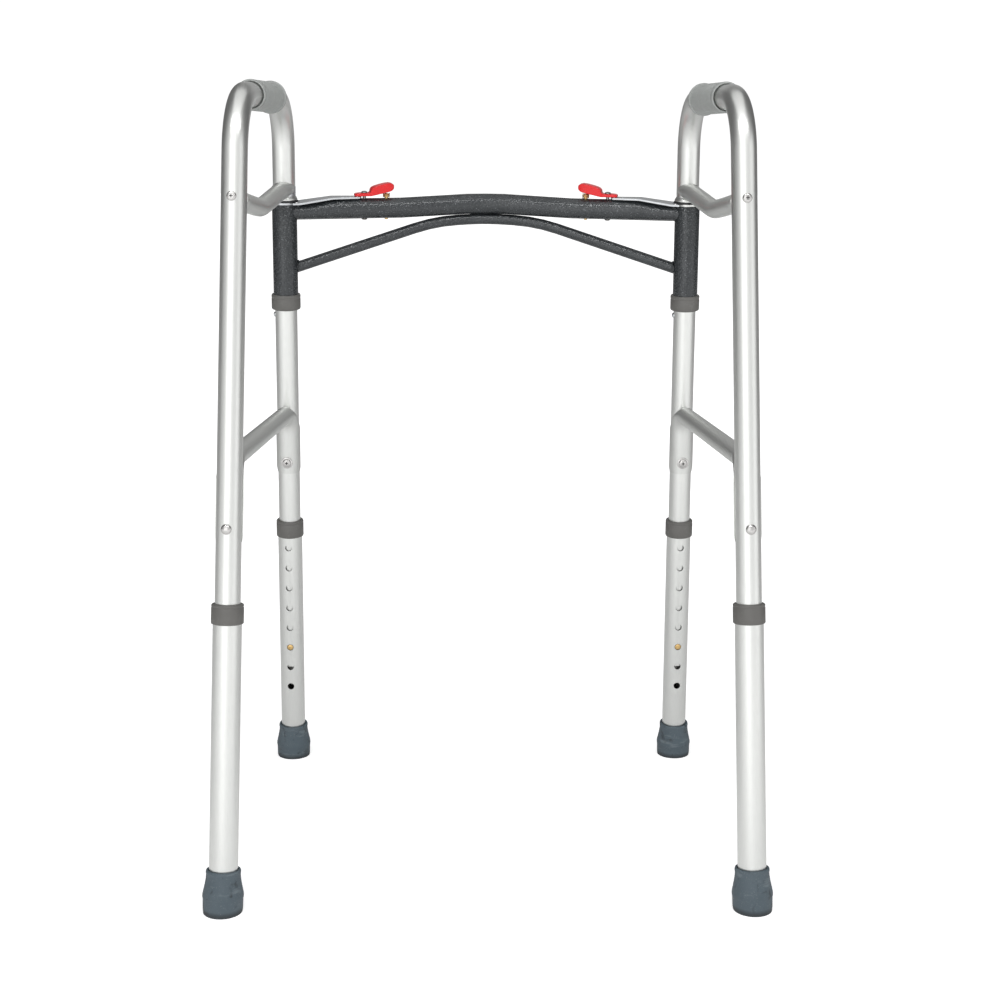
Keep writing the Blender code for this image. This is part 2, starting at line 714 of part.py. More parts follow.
def make_brace_screws(side, end, pivot):
    """Pan screws: one through the leg into the upper brace, and one on the lower brace's saddle."""
    outward = Matrix.Rotation(-math.pi / 2, 4, "Y")
    upper = leg_frame(side, end, UPPER_BRACE_Z)
    seat, tip, head = TUBE_R + GAP, 0.0190, SCREW_HEAD_R
    profile = [(0.0, seat + 0.0024), (head * 0.55, seat + 0.0022), (head * 0.9, seat + 0.0012), (head, seat)]
    profile += [(SCREW_R, seat), (SCREW_R, -tip + 0.0015), (0.0, -tip)]
    add_part(f"upper_brace_screw_{end}_{side}", turned(profile, 14), upper @ outward, "zinc", pivot)

    lower = leg_frame(side, end, SADDLE_SCREW_Z)
    inward = Matrix.Rotation(math.pi / 2, 4, "Y")
    seat, tip, head = SADDLE_R + GAP, 0.0090, SADDLE_HEAD_R
    profile = [(0.0, seat + 0.0026), (head * 0.55, seat + 0.0024), (head * 0.9, seat + 0.0013), (head, seat)]
    profile += [(SCREW_R, seat), (SCREW_R, -tip), (0.0, -tip)]
    add_part(f"lower_brace_screw_{end}_{side}", turned(profile, 14), lower @ inward, "zinc", pivot)

    seat, head, bore = TUBE_R + GAP, 0.0053, SCREW_R + GAP
    profile = [(0.0, seat + 0.0032), (head * 0.5, seat + 0.0028), (head * 0.87, seat + 0.0016), (head, seat)]
    profile += [(BARREL_R, seat), (BARREL_R, -BARREL_TIP), (bore, -BARREL_TIP), (bore, 0.0100), (0.0, 0.0100)]
    add_part(f"barrel_nut_{end}_{side}", turned(profile, 14), lower @ outward, "zinc", pivot)


def make_stop_rivet(side, pivot):
    """The rivet under the sleeve's bush that keeps the front leg from lifting out."""
    place = leg_frame(side, "front", 0.5530)
    facing = frame_matrix(place.translation, Vector((-1, 0, 0)), Vector((0, 0, 1)))
    seat, head = TUBE_R + GAP, 0.0030
    profile = [(0.0, seat + 0.0018), (head * 0.6, seat + 0.0014), (head, seat), (0.0, seat)]
    add_part(f"stop_rivet_{side}", turned(profile, 12), facing, "zinc", pivot)


# ---------------------------------------------------------------- adjustable legs


def make_snap_button(side, end, pivot):
    """The sprung brass button, with a foot inside the tube."""
    toward_hole = Matrix.Rotation(math.pi / 2, 4, "Y")
    foot, foot_r, top = 0.0076, 0.0044, TUBE_R + 0.0001
    profile = [(0.0, top), (BUTTON_R * 0.6, top - 0.0004), (BUTTON_R, top - 0.0016), (BUTTON_R, foot + 0.001)]
    profile += [(foot_r, foot + 0.001), (foot_r, foot), (0.0, foot)]
    place = leg_frame(side, end, BUTTON_Z) @ toward_hole
    add_part(f"snap_button_{end}_{side}", turned(profile, 14), place, "brass", pivot)


def make_snap_spring(side, end, pivot):
    """The bent leaf in the tube that pushes the button out."""
    thick, half_w, bend_z, bend_r = 0.0006, 0.0028, 0.050, 0.004
    back, front = -0.0104, 0.0072
    outline = [
        (back, -0.010),
        (back + thick, -0.010),
        (back + thick, bend_z),
        *arc((back + thick + bend_r, bend_z), bend_r, 180, 20, 5),
        (front - thick, 0.006),
        (front - thick, -0.005),
        (front, -0.005),
        (front, 0.006),
        *arc((back + thick + bend_r, bend_z), bend_r + thick, 20, 180, 5),
    ]
    mesh = slab(outline, 2 * half_w)
    mesh.transform(Matrix.Translation((0, half_w, 0)) @ Matrix.Rotation(math.pi / 2, 4, "X"))
    add_part(f"snap_spring_{end}_{side}", mesh, leg_frame(side, end, BUTTON_Z), "zinc", pivot)


def make_lower_leg(side, end, pivot):
    place = leg_frame(side, end, BUTTON_Z)
    low, high = (along_leg(side, end, z) for z in LOWER_TUBE_Z)
    leg = add_part(f"lower_leg_{end}_{side}", cylinder(LOWER_R, low, high, 22), place, "anodised", pivot)
    combine(leg, cylinder(LOWER_BORE_R, low - 0.01, high + 0.01, 22), place)
    heights = [(HOLES_ABOVE_BUTTON - i) * HOLE_PITCH for i in range(HOLE_COUNT)]
    holes = cylinder(HOLE_R, 0.006, 0.02, 8, "X", [(0.0, height) for height in heights])
    combine(leg, holes, place)


def make_leg_collar(side, end, pivot):
    """The plastic bush on the lower tube's mouth."""
    base = LEG_COLLAR_Z[0]
    top = along_leg(side, end, LEG_COLLAR_Z[1], base)
    shelf = along_leg(side, end, LOWER_TUBE_Z[1], base) + GAP
    edge, radius = 0.0014, LEG_COLLAR_R
    profile = [
        (LOWER_BORE_R, top),
        (radius - 2 * edge, top),
        (radius - 0.0002, top - edge),
        (radius, edge),
        (radius - edge, 0.0),
        (LOWER_R + GAP, 0.0),
        (LOWER_R + GAP, shelf),
        (LOWER_BORE_R, shelf),
    ]
    collar = turned(profile, 20, closed=True)
    add_part(f"leg_collar_{end}_{side}", collar, leg_frame(side, end, base), "grey_plastic", pivot)


def make_rubber_tip(side, end, pivot):
    """The tapered foot, coaxial with the leg and flat on the floor."""
    place = leg_frame(side, end, 0.0)
    top = along_leg(side, end, TIP_TOP_Z, 0.0)
    floor = along_leg(side, end, LOWER_TUBE_Z[0], 0.0) - GAP
    bore = LOWER_R + GAP
    profile = [
        (0.0, floor),
        (bore, floor),
        (bore, top),
        (TIP_RIM_R - 0.0010, top),
        (TIP_RIM_R, top - 0.0012),
        (TIP_RIM_R, top - 0.0050),
        (TIP_R - 0.0008, 0.0230),
        (TIP_R, 0.0190),
        (TIP_R - 0.0008, 0.0050),
        (TIP_R - 0.0012, -0.0060),
        (0.0, -0.0060),
    ]
    tip = add_part(f"rubber_tip_{end}_{side}", turned(profile, 20), place, "rubber", pivot)
    ground = place.translation
    combine(tip, box((-0.05, -0.05, -0.05), (0.05, 0.05, 0.0)), Matrix.Translation((ground.x, ground.y, 0.0)))


# ---------------------------------------------------------------- assembly


def make_front_frame():
    make_crossbar()
    make_arch_brace()
    for side in SIDES:
        make_sleeve(side)
        make_sleeve_collar(side)
        make_lever_rivet(side)
        make_lever_spring(side)
        lever_axis = bar_frame(side) @ Matrix.Translation((PIVOT_X, 0, plate_top(PLATE_END_X)))
        make_lever(side, add_pivot(f"lever_axis_{side}", lever_axis))
        pin_place = bar_frame(side) @ Matrix.Translation((PIN_X, 0, 0))
        make_lever_pin(side, add_pivot(f"pin_axis_{side}", pin_place))


def make_side_frame(side):
    fold_axis = add_pivot(f"fold_axis_{side}", bar_frame(side))
    make_side_tube(side, fold_axis)
    make_grip(side, fold_axis)
    make_upper_brace(side, fold_axis)
    make_lower_brace(side, fold_axis)
    make_hinge_plate(side, fold_axis)
    make_hinge_washer(side, fold_axis)
    make_stop_rivet(side, fold_axis)
    for end in ("front", "rear"):
        make_brace_screws(side, end, fold_axis)
        make_snap_spring(side, end, fold_axis)
        button_axis = add_pivot(f"button_axis_{end}_{side}", leg_frame(side, end, BUTTON_Z), fold_axis)
        make_snap_button(side, end, button_axis)
        leg_axis = add_pivot(f"leg_axis_{end}_{side}", leg_frame(side, end, BUTTON_Z), fold_axis)
        make_lower_leg(side, end, leg_axis)
        make_leg_collar(side, end, leg_axis)
        make_rubber_tip(side, end, leg_axis)


clear_scene()
PARTS = new_collection("walking_frame")
CUTTERS = new_collection("cutters")
MATERIALS = {name: make_material(name) for name in COLOURS}
make_front_frame()
for name in SIDES:
    make_side_frame(name)
bpy.context.view_layer.update()
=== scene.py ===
import json
import math

import bpy
from mathutils import Matrix, Vector


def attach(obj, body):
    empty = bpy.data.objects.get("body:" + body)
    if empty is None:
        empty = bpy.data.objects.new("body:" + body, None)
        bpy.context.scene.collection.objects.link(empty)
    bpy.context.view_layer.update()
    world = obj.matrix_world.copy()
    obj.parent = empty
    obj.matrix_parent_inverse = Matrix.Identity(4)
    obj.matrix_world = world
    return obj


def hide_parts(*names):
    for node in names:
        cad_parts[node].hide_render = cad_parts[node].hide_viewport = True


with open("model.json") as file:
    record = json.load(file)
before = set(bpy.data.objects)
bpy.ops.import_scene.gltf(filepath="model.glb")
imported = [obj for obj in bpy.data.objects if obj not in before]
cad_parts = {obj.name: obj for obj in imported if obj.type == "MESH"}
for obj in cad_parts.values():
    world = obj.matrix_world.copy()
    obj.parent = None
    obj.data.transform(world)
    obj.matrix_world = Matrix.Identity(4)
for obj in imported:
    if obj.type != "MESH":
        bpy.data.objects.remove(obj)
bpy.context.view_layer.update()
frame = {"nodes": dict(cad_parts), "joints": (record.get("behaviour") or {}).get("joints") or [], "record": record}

SIDES = {"left": -1, "right": 1}
ENDS = ("front", "rear")

# Tube sizes
TUBE_R, TUBE_WALL = 0.0127, 0.0013
LOWER_R, LOWER_BORE_R = 0.0143, 0.0131
SLEEVE_R, SLEEVE_BORE_R = 0.0142, 0.0131
CLEAR = 0.0003

# Heights
HANDLE_Z = 0.7975
HANDLE_BEND_R = 0.060
SLEEVE_TOP, SLEEVE_FOOT = 0.6800, 0.5665
SLEEVE_COLLAR = (0.5590, 0.5770)
LEG_COLLAR = (0.2850, 0.3050)
BUTTON_Z = 0.1466
HOLE_PITCH, HOLE_R = 0.0254, 0.0040
UPPER_BRACE_Z, UPPER_BRACE_DIP, UPPER_BRACE_R = 0.6985, 0.0165, 0.0098
LOWER_BRACE_Z = {"rear": 0.4465, "front": 0.4390}
LOWER_BRACE_R = 0.0102
SADDLE_Z, SADDLE_SCREW_Z, SADDLE_R = 0.3650, 0.3785, 0.0142

# Crossbar, in its own frame
BAR_R, BAR_DOWN = 0.0117, 0.0065
BAR_YAW = math.radians(12.7)
BAR_PRESS, PLATE_RAMP = (0.024, 0.062), (0.0165, 0.0545)
BAR_BEND_R = 0.100
BAR_CLIMB_X, BAR_CLIMB = 0.135, 0.004
ARCH_R, ARCH_DROP, ARCH_CORNER_X, ARCH_BEND_R = 0.0062, 0.0745, 0.176, 0.200
PLATE_T, PLATE_END = 0.0020, 0.088
PIVOT_X, PIN_X, PADDLE_BEND_X = 0.0920, 0.1176, 0.1000
LEVER_LIFT, LEVER_T = 0.0004, 0.0032
WASHER_T = 0.0022
PADDLE_TILT = math.radians(13)


# ---------------------------------------------------------------- where things are


def record_mounts():
    return {mount["name"]: Vector(mount["pos_m"]) for mount in frame["record"]["mounts"]}


def record_axes():
    return {joint["name"]: Vector(joint["axis"]).normalized() for joint in frame["joints"]}


FLOOR_POINTS = record_mounts()
JOINT_AXES = record_axes()


def leg_axis(side, end):
    down = JOINT_AXES[f"extend_leg_{end}_{side}"]
    return -down if down.z < 0 else down


def leg_point(side, end, z):
    up = leg_axis(side, end)
    return FLOOR_POINTS[f"floor_{end}_{side}"] + up * (z / up.z)


def placement(origin, up, along):
    """Z is up, and X is the part of along that is square to it."""
    up = up.normalized()
    across = up.cross(along).normalized()
    matrix = Matrix((across.cross(up), across, up)).transposed().to_4x4()
    matrix.translation = origin
    return matrix


def leg_place(side, end, z):
    """On the leg's axis, Z up the leg, X towards the side's other leg."""
    other = "rear" if end == "front" else "front"
    here = leg_point(side, end, z)
    return placement(here, leg_axis(side, end), leg_point(side, other, z) - here)


def up_leg(side, end, z, base):
    return (z - base) / leg_axis(side, end).z


def bar_place(side, x=0.0):
    """On the front leg at the sleeve's top, Z up the leg, X along the crossbar's half."""
    heading = Vector((-SIDES[side] * math.cos(BAR_YAW), math.sin(BAR_YAW), 0.0))
    here = placement(leg_point(side, "front", SLEEVE_TOP), leg_axis(side, "front"), heading)
    return here @ Matrix.Translation((x, 0, 0))


def bar_length(side):
    here = bar_place(side)
    return -here.translation.x / here.col[0].x


def bar_rise(x, stretch=BAR_PRESS):
    low, high = stretch
    return (BAR_R - BAR_DOWN) * min(1.0, max(0.0, (x - low) / (high - low)))


def plate_top(x):
    return CLEAR + bar_rise(x) + PLATE_T


# ---------------------------------------------------------------- materials


MIX_UNDER, MIX_OVER, MIX_RESULT = 6, 7, 2  # the mix node's colour sockets


def node(tree, kind, **settings):
    made = tree.nodes.new(kind)
    for key, value in settings.items():
        setattr(made, key, value)
    return made


class Finish:
    """A material built up from a shader, object coordinates and layers of grain."""

    def __init__(self, name, colour, metallic, roughness):
        self.material = bpy.data.materials.new(name)
        self.material.use_nodes = True
        self.tree = self.material.node_tree
        self.shader = self.tree.nodes["Principled BSDF"]
        self.shader.inputs["Metallic"].default_value = metallic
        self.coords = self.tree.nodes.new("ShaderNodeTexCoord")
        self.shader.inputs["Base Color"].default_value = (*colour, 1.0)
        self.shader.inputs["Roughness"].default_value = roughness
        self.colour_out = None
        self.rough_out = None
        self.normal_out = None

    def carry_on(self, so_far, shader_input, socket):
        """Feeds a layer with the layer under it, or with the shader's own value."""
        if so_far:
            self.tree.links.new(so_far, socket)
        else:
            socket.default_value = self.shader.inputs[shader_input].default_value

    def noise(self, scale, detail=4.0, stretch=(1, 1, 1), distortion=0.0):
        mapping = node(self.tree, "ShaderNodeMapping")
        mapping.inputs["Scale"].default_value = stretch
        self.tree.links.new(self.coords.outputs["Object"], mapping.inputs["Vector"])
        made = node(self.tree, "ShaderNodeTexNoise")
        made.inputs["Scale"].default_value = scale
        made.inputs["Detail"].default_value = detail
        made.inputs["Distortion"].default_value = distortion
        self.tree.links.new(mapping.outputs["Vector"], made.inputs["Vector"])
        return made.outputs["Fac"]

    def cells(self, scale, feature="F1", randomness=1.0):
        made = node(self.tree, "ShaderNodeTexVoronoi", feature=feature)
        made.inputs["Scale"].default_value = scale
        made.inputs["Randomness"].default_value = randomness
        self.tree.links.new(self.coords.outputs["Object"], made.inputs["Vector"])
        return made.outputs["Distance"]

    def ramp(self, source, low, high, start=0.0, end=1.0):
        made = node(self.tree, "ShaderNodeMapRange")
        made.inputs["From Min"].default_value = low
        made.inputs["From Max"].default_value = high
        made.inputs["To Min"].default_value = start
        made.inputs["To Max"].default_value = end
        self.tree.links.new(source, made.inputs["Value"])
        return made.outputs["Result"]

    def tint(self, mask, colour):
        """Lays a colour over the finish where the mask is high."""
        mix = node(self.tree, "ShaderNodeMix", data_type="RGBA")
        self.tree.links.new(mask, mix.inputs["Factor"])
        self.carry_on(self.colour_out, "Base Color", mix.inputs[MIX_UNDER])
        mix.inputs[MIX_OVER].default_value = (*colour, 1.0)
        self.colour_out = mix.outputs[MIX_RESULT]

    def roughen(self, mask, amount):
        add = node(self.tree, "ShaderNodeMath", operation="MULTIPLY_ADD")
        self.tree.links.new(mask, add.inputs[0])
        add.inputs[1].default_value = amount
        self.carry_on(self.rough_out, "Roughness", add.inputs[2])
        self.rough_out = add.outputs[0]

    def emboss(self, height, strength, distance):
        bump = node(self.tree, "ShaderNodeBump")
        bump.inputs["Strength"].default_value = strength
        bump.inputs["Distance"].default_value = distance
        self.tree.links.new(height, bump.inputs["Height"])
        if self.normal_out:
            self.tree.links.new(self.normal_out, bump.inputs["Normal"])
        self.normal_out = bump.outputs["Normal"]

    def height(self):
        """Height above the floor, in metres."""
        split = node(self.tree, "ShaderNodeSeparateXYZ")
        self.tree.links.new(self.coords.outputs["Object"], split.inputs["Vector"])
        return split.outputs["Z"]

    def done(self):
        layers = {"Base Color": self.colour_out, "Roughness": self.rough_out, "Normal": self.normal_out}
        for name, layer in layers.items():
            if layer:
                self.tree.links.new(layer, self.shader.inputs[name])
        return self.material


def anodised(name, colour, roughness):
    """Satin aluminium with fine drawing lines along the tube and faint handling marks."""
    finish = Finish(name, colour, 1.0, roughness)
    lines = finish.noise(900, 3.0, (1, 1, 0.02))
    clouds = finish.noise(9, 3.0)
    smears = finish.ramp(finish.noise(60, 5.0, (1, 1, 0.3), 0.6), 0.60, 0.78)
    finish.tint(finish.ramp(clouds, 0.35, 0.75, 0.0, 0.12), tuple(c * 0.82 for c in colour))
    finish.tint(finish.ramp(lines, 0.45, 0.70, 0.0, 0.10), tuple(c * 0.75 for c in colour))
    finish.tint(finish.ramp(smears, 0.0, 1.0, 0.0, 0.05), tuple(c * 0.7 for c in colour))
    finish.roughen(finish.ramp(lines, 0.3, 0.7, -0.5, 0.5), 0.06)
    finish.roughen(smears, 0.05)
    finish.emboss(lines, 0.06, 0.00002)
    finish.emboss(finish.noise(1800, 2.0), 0.05, 0.00002)
    return finish.done()


def hammertone():
    """Dark grey-blue hammered paint, with dimples, worn specks and painted pale glints."""
    finish = Finish("hammertone", (0.026, 0.030, 0.033), 0.20, 0.17)
    dimples = finish.cells(430, "SMOOTH_F1")
    grain = finish.noise(700, 4.0)
    glint_flecks = finish.ramp(finish.noise(820, 3.0), 0.62, 0.70)
    chips = finish.ramp(finish.noise(420, 6.0, (1, 1, 1), 0.4), 0.70, 0.76)
    clouds = finish.noise(38, 4.0)
    finish.tint(finish.ramp(clouds, 0.35, 0.70, 0.0, 0.6), (0.046, 0.051, 0.055))
    finish.tint(finish.ramp(grain, 0.5, 0.75, 0.0, 0.5), (0.022, 0.026, 0.031))
    # Painted glints: pale dots standing in for sparkle off the dimples
    finish.tint(finish.ramp(glint_flecks, 0.0, 1.0, 0.0, 0.45), (0.30, 0.32, 0.34))
    finish.tint(finish.ramp(chips, 0.0, 1.0, 0.0, 0.45), (0.42, 0.44, 0.46))
    finish.roughen(grain, 0.06)
    finish.emboss(finish.ramp(dimples, 0.0, 0.8), 0.75, 0.0009)
    finish.emboss(grain, 0.30, 0.0003)
    finish.shader.inputs["Coat Weight"].default_value = 0.35
    finish.shader.inputs["Coat Roughness"].default_value = 0.12
    return finish.done()


def zinc(name, colour, roughness):
    """Bright plated steel with a faint crystal pattern and rubbed spots."""
    finish = Finish(name, colour, 1.0, roughness)
    crystals = finish.cells(420)
    grain = finish.noise(1500, 3.0)
    finish.tint(finish.ramp(crystals, 0.2, 0.9, 0.0, 0.25), tuple(c * 0.72 for c in colour))
    finish.tint(finish.ramp(finish.noise(90, 4.0), 0.58, 0.75, 0.0, 0.3), tuple(c * 0.6 for c in colour))
    finish.roughen(crystals, 0.12)
    finish.emboss(grain, 0.10, 0.00004)
    return finish.done()


def brass():
    """Yellow brass, duller where it has tarnished."""
    finish = Finish("brass", (0.80, 0.55, 0.24), 1.0, 0.24)
    finish.tint(finish.ramp(finish.noise(520, 4.0), 0.48, 0.72, 0.0, 0.6), (0.42, 0.26, 0.10))
    finish.roughen(finish.noise(700, 3.0), 0.18)
    finish.emboss(finish.noise(1600, 2.0), 0.1, 0.00004)
    return finish.done()


def moulded(name, colour, roughness, grain, wear):
    """Moulded plastic: fine grain, uneven gloss and pale rubbed patches."""
    finish = Finish(name, colour, 0.0, roughness)
    fine = finish.noise(grain, 3.0)
    patches = finish.noise(46, 4.0, (1, 1, 1), 0.5)
    finish.tint(finish.ramp(patches, 0.40, 0.75, 0.0, 0.35), tuple(c * 0.8 for c in colour))
    rubbed = finish.ramp(finish.noise(150, 6.0, (1, 1, 1), 1.0), 0.60, 0.74)
    paler = tuple(min(1.0, c * 1.35 + 0.07) for c in colour)
    finish.tint(finish.ramp(rubbed, 0.0, 1.0, 0.0, wear), paler)
    finish.roughen(patches, 0.12)
    finish.roughen(rubbed, 0.08)
    finish.emboss(fine, 0.16, 0.00008)
    return finish.done()


def foot_rubber():
    """Blue-grey rubber with pale scuffs, dust in its pores, and darker towards its lower edge."""
    finish = Finish("foot_rubber", (0.078, 0.106, 0.126), 0.0, 0.60)
    finish.tint(finish.ramp(finish.noise(34, 4.0), 0.40, 0.72, 0.0, 0.5), (0.105, 0.135, 0.156))
    scuffs = finish.ramp(finish.noise(75, 9.0, (0.5, 0.5, 2.2), 0.3), 0.60, 0.72)
    dust = finish.ramp(finish.noise(900, 5.0), 0.60, 0.75)
    finish.tint(finish.ramp(scuffs, 0.0, 1.0, 0.0, 0.38), (0.26, 0.30, 0.32))
    finish.tint(finish.ramp(dust, 0.0, 1.0, 0.0, 0.35), (0.34, 0.36, 0.37))
    # Darker towards the floor, over the lowest few millimetres
    hem = finish.ramp(finish.height(), 0.0025, 0.0065, 0.75, 0.0)
    finish.tint(hem, (0.020, 0.023, 0.026))
    smudges = finish.ramp(finish.noise(95, 8.0, (1, 1, 1), 0.8), 0.58, 0.68)
    finish.tint(finish.ramp(smudges, 0.0, 1.0, 0.0, 0.65), (0.028, 0.033, 0.036))
    finish.roughen(scuffs, 0.16)
    finish.emboss(finish.noise(650, 6.0), 0.28, 0.00022)
    return finish.done()


def grip_rubber():
    """Blue-grey moulded grip, slightly polished by hands."""
    finish = Finish("grip_rubber", (0.330, 0.345, 0.335), 0.0, 0.48)
    finish.tint(finish.ramp(finish.noise(30, 4.0), 0.38, 0.72, 0.0, 0.5), (0.385, 0.400, 0.390))
    polish = finish.ramp(finish.noise(70, 5.0, (1, 1, 1), 0.8), 0.50, 0.72)
    finish.tint(finish.ramp(polish, 0.0, 1.0, 0.0, 0.25), (0.45, 0.465, 0.455))
    finish.roughen(polish, -0.10)
    finish.emboss(finish.noise(800, 5.0), 0.25, 0.00015)
    return finish.done()


FINISHES = {
    "anodised": anodised("anodised_tube", (0.80, 0.81, 0.79), 0.33),
    "brace": anodised("matte_anodised", (0.74, 0.75, 0.73), 0.44),
    "hammertone": hammertone(),
    "zinc": zinc("zinc_plate", (0.66, 0.68, 0.70), 0.30),
    "chrome": zinc("bright_screw", (0.62, 0.61, 0.60), 0.16),
    "dark_steel": zinc("dark_rivet", (0.30, 0.29, 0.28), 0.30),
    # Near-black finish: painted shade on the walls of holes and in the screws' cross recesses
    "hole_shade": zinc("hole_shade", (0.10, 0.10, 0.10), 0.45),
    "brass": brass(),
    "red_plastic": moulded("red_plastic", (0.74, 0.008, 0.012), 0.24, 1400, 0.05),
    "grey_plastic": moulded("grey_plastic", (0.130, 0.127, 0.120), 0.40, 1100, 0.25),
    "black_plastic": moulded("black_plastic", (0.018, 0.018, 0.019), 0.42, 1100, 0.25),
    "grip": grip_rubber(),
    "rubber": foot_rubber(),
}


# ---------------------------------------------------------------- modelling by hand


def put_down():
    """Leaves edit mode with nothing selected."""
    if bpy.context.object and bpy.context.object.mode != "OBJECT":
        bpy.ops.object.mode_set(mode="OBJECT")
    bpy.ops.object.select_all(action="DESELECT")


def hold(piece):
    put_down()
    piece.select_set(True)
    bpy.context.view_layer.objects.active = piece


def smooth(piece, angle):
    """Smooth shading, left sharp where faces meet at more than the angle."""
    hold(piece)
    bpy.ops.object.shade_smooth_by_angle(angle=math.radians(angle))


def ring(name, radius, sides, fill="NOTHING"):
    """A new piece that starts as a ring about Z, left in edit mode."""
    put_down()
    bpy.ops.mesh.primitive_circle_add(vertices=sides, radius=radius, fill_type=fill, location=(0, 0, 0))
    piece = bpy.context.object
    piece.name = piece.data.name = name
    bpy.ops.object.mode_set(mode="EDIT")
    bpy.ops.mesh.select_all(action="SELECT")
    return piece


def pick(piece, wanted):
    """Opens a piece in edit mode with just the wanted points selected."""
    hold(piece)
    bpy.ops.object.mode_set(mode="EDIT")
    bpy.ops.mesh.select_mode(type="VERT")
    bpy.ops.mesh.select_all(action="DESELECT")
    bpy.ops.object.mode_set(mode="OBJECT")
    for vertex in piece.data.vertices:
        vertex.select = wanted(vertex.co)
    bpy.ops.object.mode_set(mode="EDIT")


def open_up(piece):
    """Opens a piece in edit mode with everything selected."""
    hold(piece)
    bpy.ops.object.mode_set(mode="EDIT")
    bpy.ops.mesh.select_all(action="SELECT")


def pull(move):
    """Extrudes what is selected."""
    bpy.ops.mesh.extrude_region_move(TRANSFORM_OT_translate={"value": tuple(move)})


def size(factor, centre, axes=(1, 1, 1)):
    value = [1 + (factor - 1) * a for a in axes]
    bpy.ops.transform.resize(value=value, center_override=tuple(centre))


def close_up(piece, angle=35, fill=True, bevel=0.0):
    """Merges doubles, closes open ends, points faces out and smooths."""
    open_up(piece)
    bpy.ops.mesh.remove_doubles(threshold=0.000002)
    if fill:
        bpy.ops.mesh.fill_holes(sides=0)
    bpy.ops.mesh.select_all(action="SELECT")
    bpy.ops.mesh.normals_make_consistent(inside=False)
    bpy.ops.object.mode_set(mode="OBJECT")
    if bevel:
        soften = piece.modifiers.new("Soften", "BEVEL")
        soften.width = bevel
        soften.segments = 2
        soften.limit_method = "ANGLE"
        soften.angle_limit = math.radians(40)
        bpy.ops.object.modifier_apply(modifier=soften.name)
    bpy.ops.object.shade_smooth_by_angle(angle=math.radians(angle))
    return piece


def turned(name, profile, sides=48, loop=False, angle=35):
    """A ring extruded and resized down a profile of (radius, height); loop closes it on itself."""
    piece = ring(name, profile[0][0], sides)
    bpy.ops.transform.translate(value=(0, 0, profile[0][1]))
    steps = [*profile[1:], profile[0]] if loop else profile[1:]
    radius, height = profile[0]
    for next_radius, next_height in steps:
        pull((0, 0, next_height - height))
        size(next_radius / radius, (0, 0, next_height), (1, 1, 0))
        radius, height = next_radius, next_height
    return close_up(piece, angle, fill=not loop)


def place_piece(piece, matrix):
    """Puts a piece modelled about the origin where it belongs, with its place in its mesh."""
    hold(piece)
    piece.matrix_world = matrix
    bpy.ops.object.transform_apply(location=True, rotation=True, scale=True)
    return piece


def copy_of(piece, name):
    made = piece.copy()
    made.data = piece.data.copy()
    made.name = made.data.name = name
    bpy.context.scene.collection.objects.link(made)
    return made


def cut(piece, tool, operation="DIFFERENCE"):
    """Cuts the tool's shape out of a piece, or joins it on, and throws the tool away."""
    hold(piece)
    change = piece.modifiers.new("Cut", "BOOLEAN")
    change.operation = operation
    change.solver = "EXACT"
    change.object = tool
    bpy.ops.object.modifier_apply(modifier=change.name)
    bpy.data.objects.remove(tool)
    return piece


def peg(radius, low, high, matrix, sides=32):
    """A plain rod for cutting a hole."""
    tool = ring("peg", radius, sides, "NGON")
    bpy.ops.transform.translate(value=(0, 0, low))
    pull((0, 0, high - low))
    bpy.ops.mesh.select_all(action="SELECT")
    bpy.ops.mesh.fill_holes(sides=0)
    bpy.ops.mesh.normals_make_consistent(inside=False)
    put_down()
    return place_piece(tool, matrix)


def dress(piece, finish, body, *nodes):
    """Gives a piece its finish, hangs it on its body and hides the solids it stands for."""
    piece.data.materials.clear()
    piece.data.materials.append(FINISHES[finish])
    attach(piece, body)
    if nodes:
        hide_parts(*nodes)
    return piece


def paint(piece, finish, place, wanted):
    """Gives a second finish to the faces whose centres, seen from a place, are wanted."""
    piece.data.materials.append(FINISHES[finish])
    into = place.inverted()
    for face in piece.data.polygons:
        if wanted(into @ face.center):
            face.material_index = 1


# Picks the faces inside a screw's cross recess, where shade is painted
def in_recess(radius, height):
    return lambda spot: height * 0.2 < spot.z < height * 0.84 and spot.xy.length < radius * 0.62


X_TURN = Matrix.Rotation(math.pi / 2, 4, "Y")  # turns Z to +X


def swept(name, corners, radii, radius, sides=48, bend_step=math.radians(5)):
    """A ring pulled along straight runs and spun round the bends between them."""
    start = placement(corners[0], corners[1] - corners[0], Vector((0.31, 0.17, 0.05)))
    piece = ring(name, radius, sides)
    bpy.ops.object.mode_set(mode="OBJECT")
    place_piece(piece, start)
    bpy.ops.object.mode_set(mode="EDIT")
    bpy.ops.mesh.select_all(action="SELECT")
    here = corners[0]
    for before, corner, after, bend in zip(corners, corners[1:], corners[2:], radii):
        back, ahead = (before - corner).normalized(), (after - corner).normalized()
        half = back.angle(ahead) / 2
        reach = bend / math.tan(half)
        entry, leave = corner + back * reach, corner + ahead * reach
        centre = corner + (back + ahead).normalized() * (bend / math.sin(half))
        axis = (entry - centre).cross(leave - centre).normalized()
        turn = math.pi - 2 * half
        pull(entry - here)
        steps = max(2, round(turn / bend_step))
        bpy.ops.mesh.spin(steps=steps, angle=-turn, center=tuple(centre), axis=tuple(axis))
        here = leave
    pull(corners[-1] - here)
    return piece


# ---------------------------------------------------------------- screws, rivets and domes


def pan_head(name, radius, height, sides=32):
    """A low domed head, standing on Z = 0; the cross recess is cut separately."""
    curve = [(radius, -0.0006), (radius, 0.0), (radius * 0.98, height * 0.3)]
    curve += [(radius * 0.9, height * 0.62), (radius * 0.72, height * 0.86)]
    curve += [(radius * 0.45, height * 0.97), (radius * 0.12, height)]
    head = turned(name, curve, sides, angle=60)
    return head


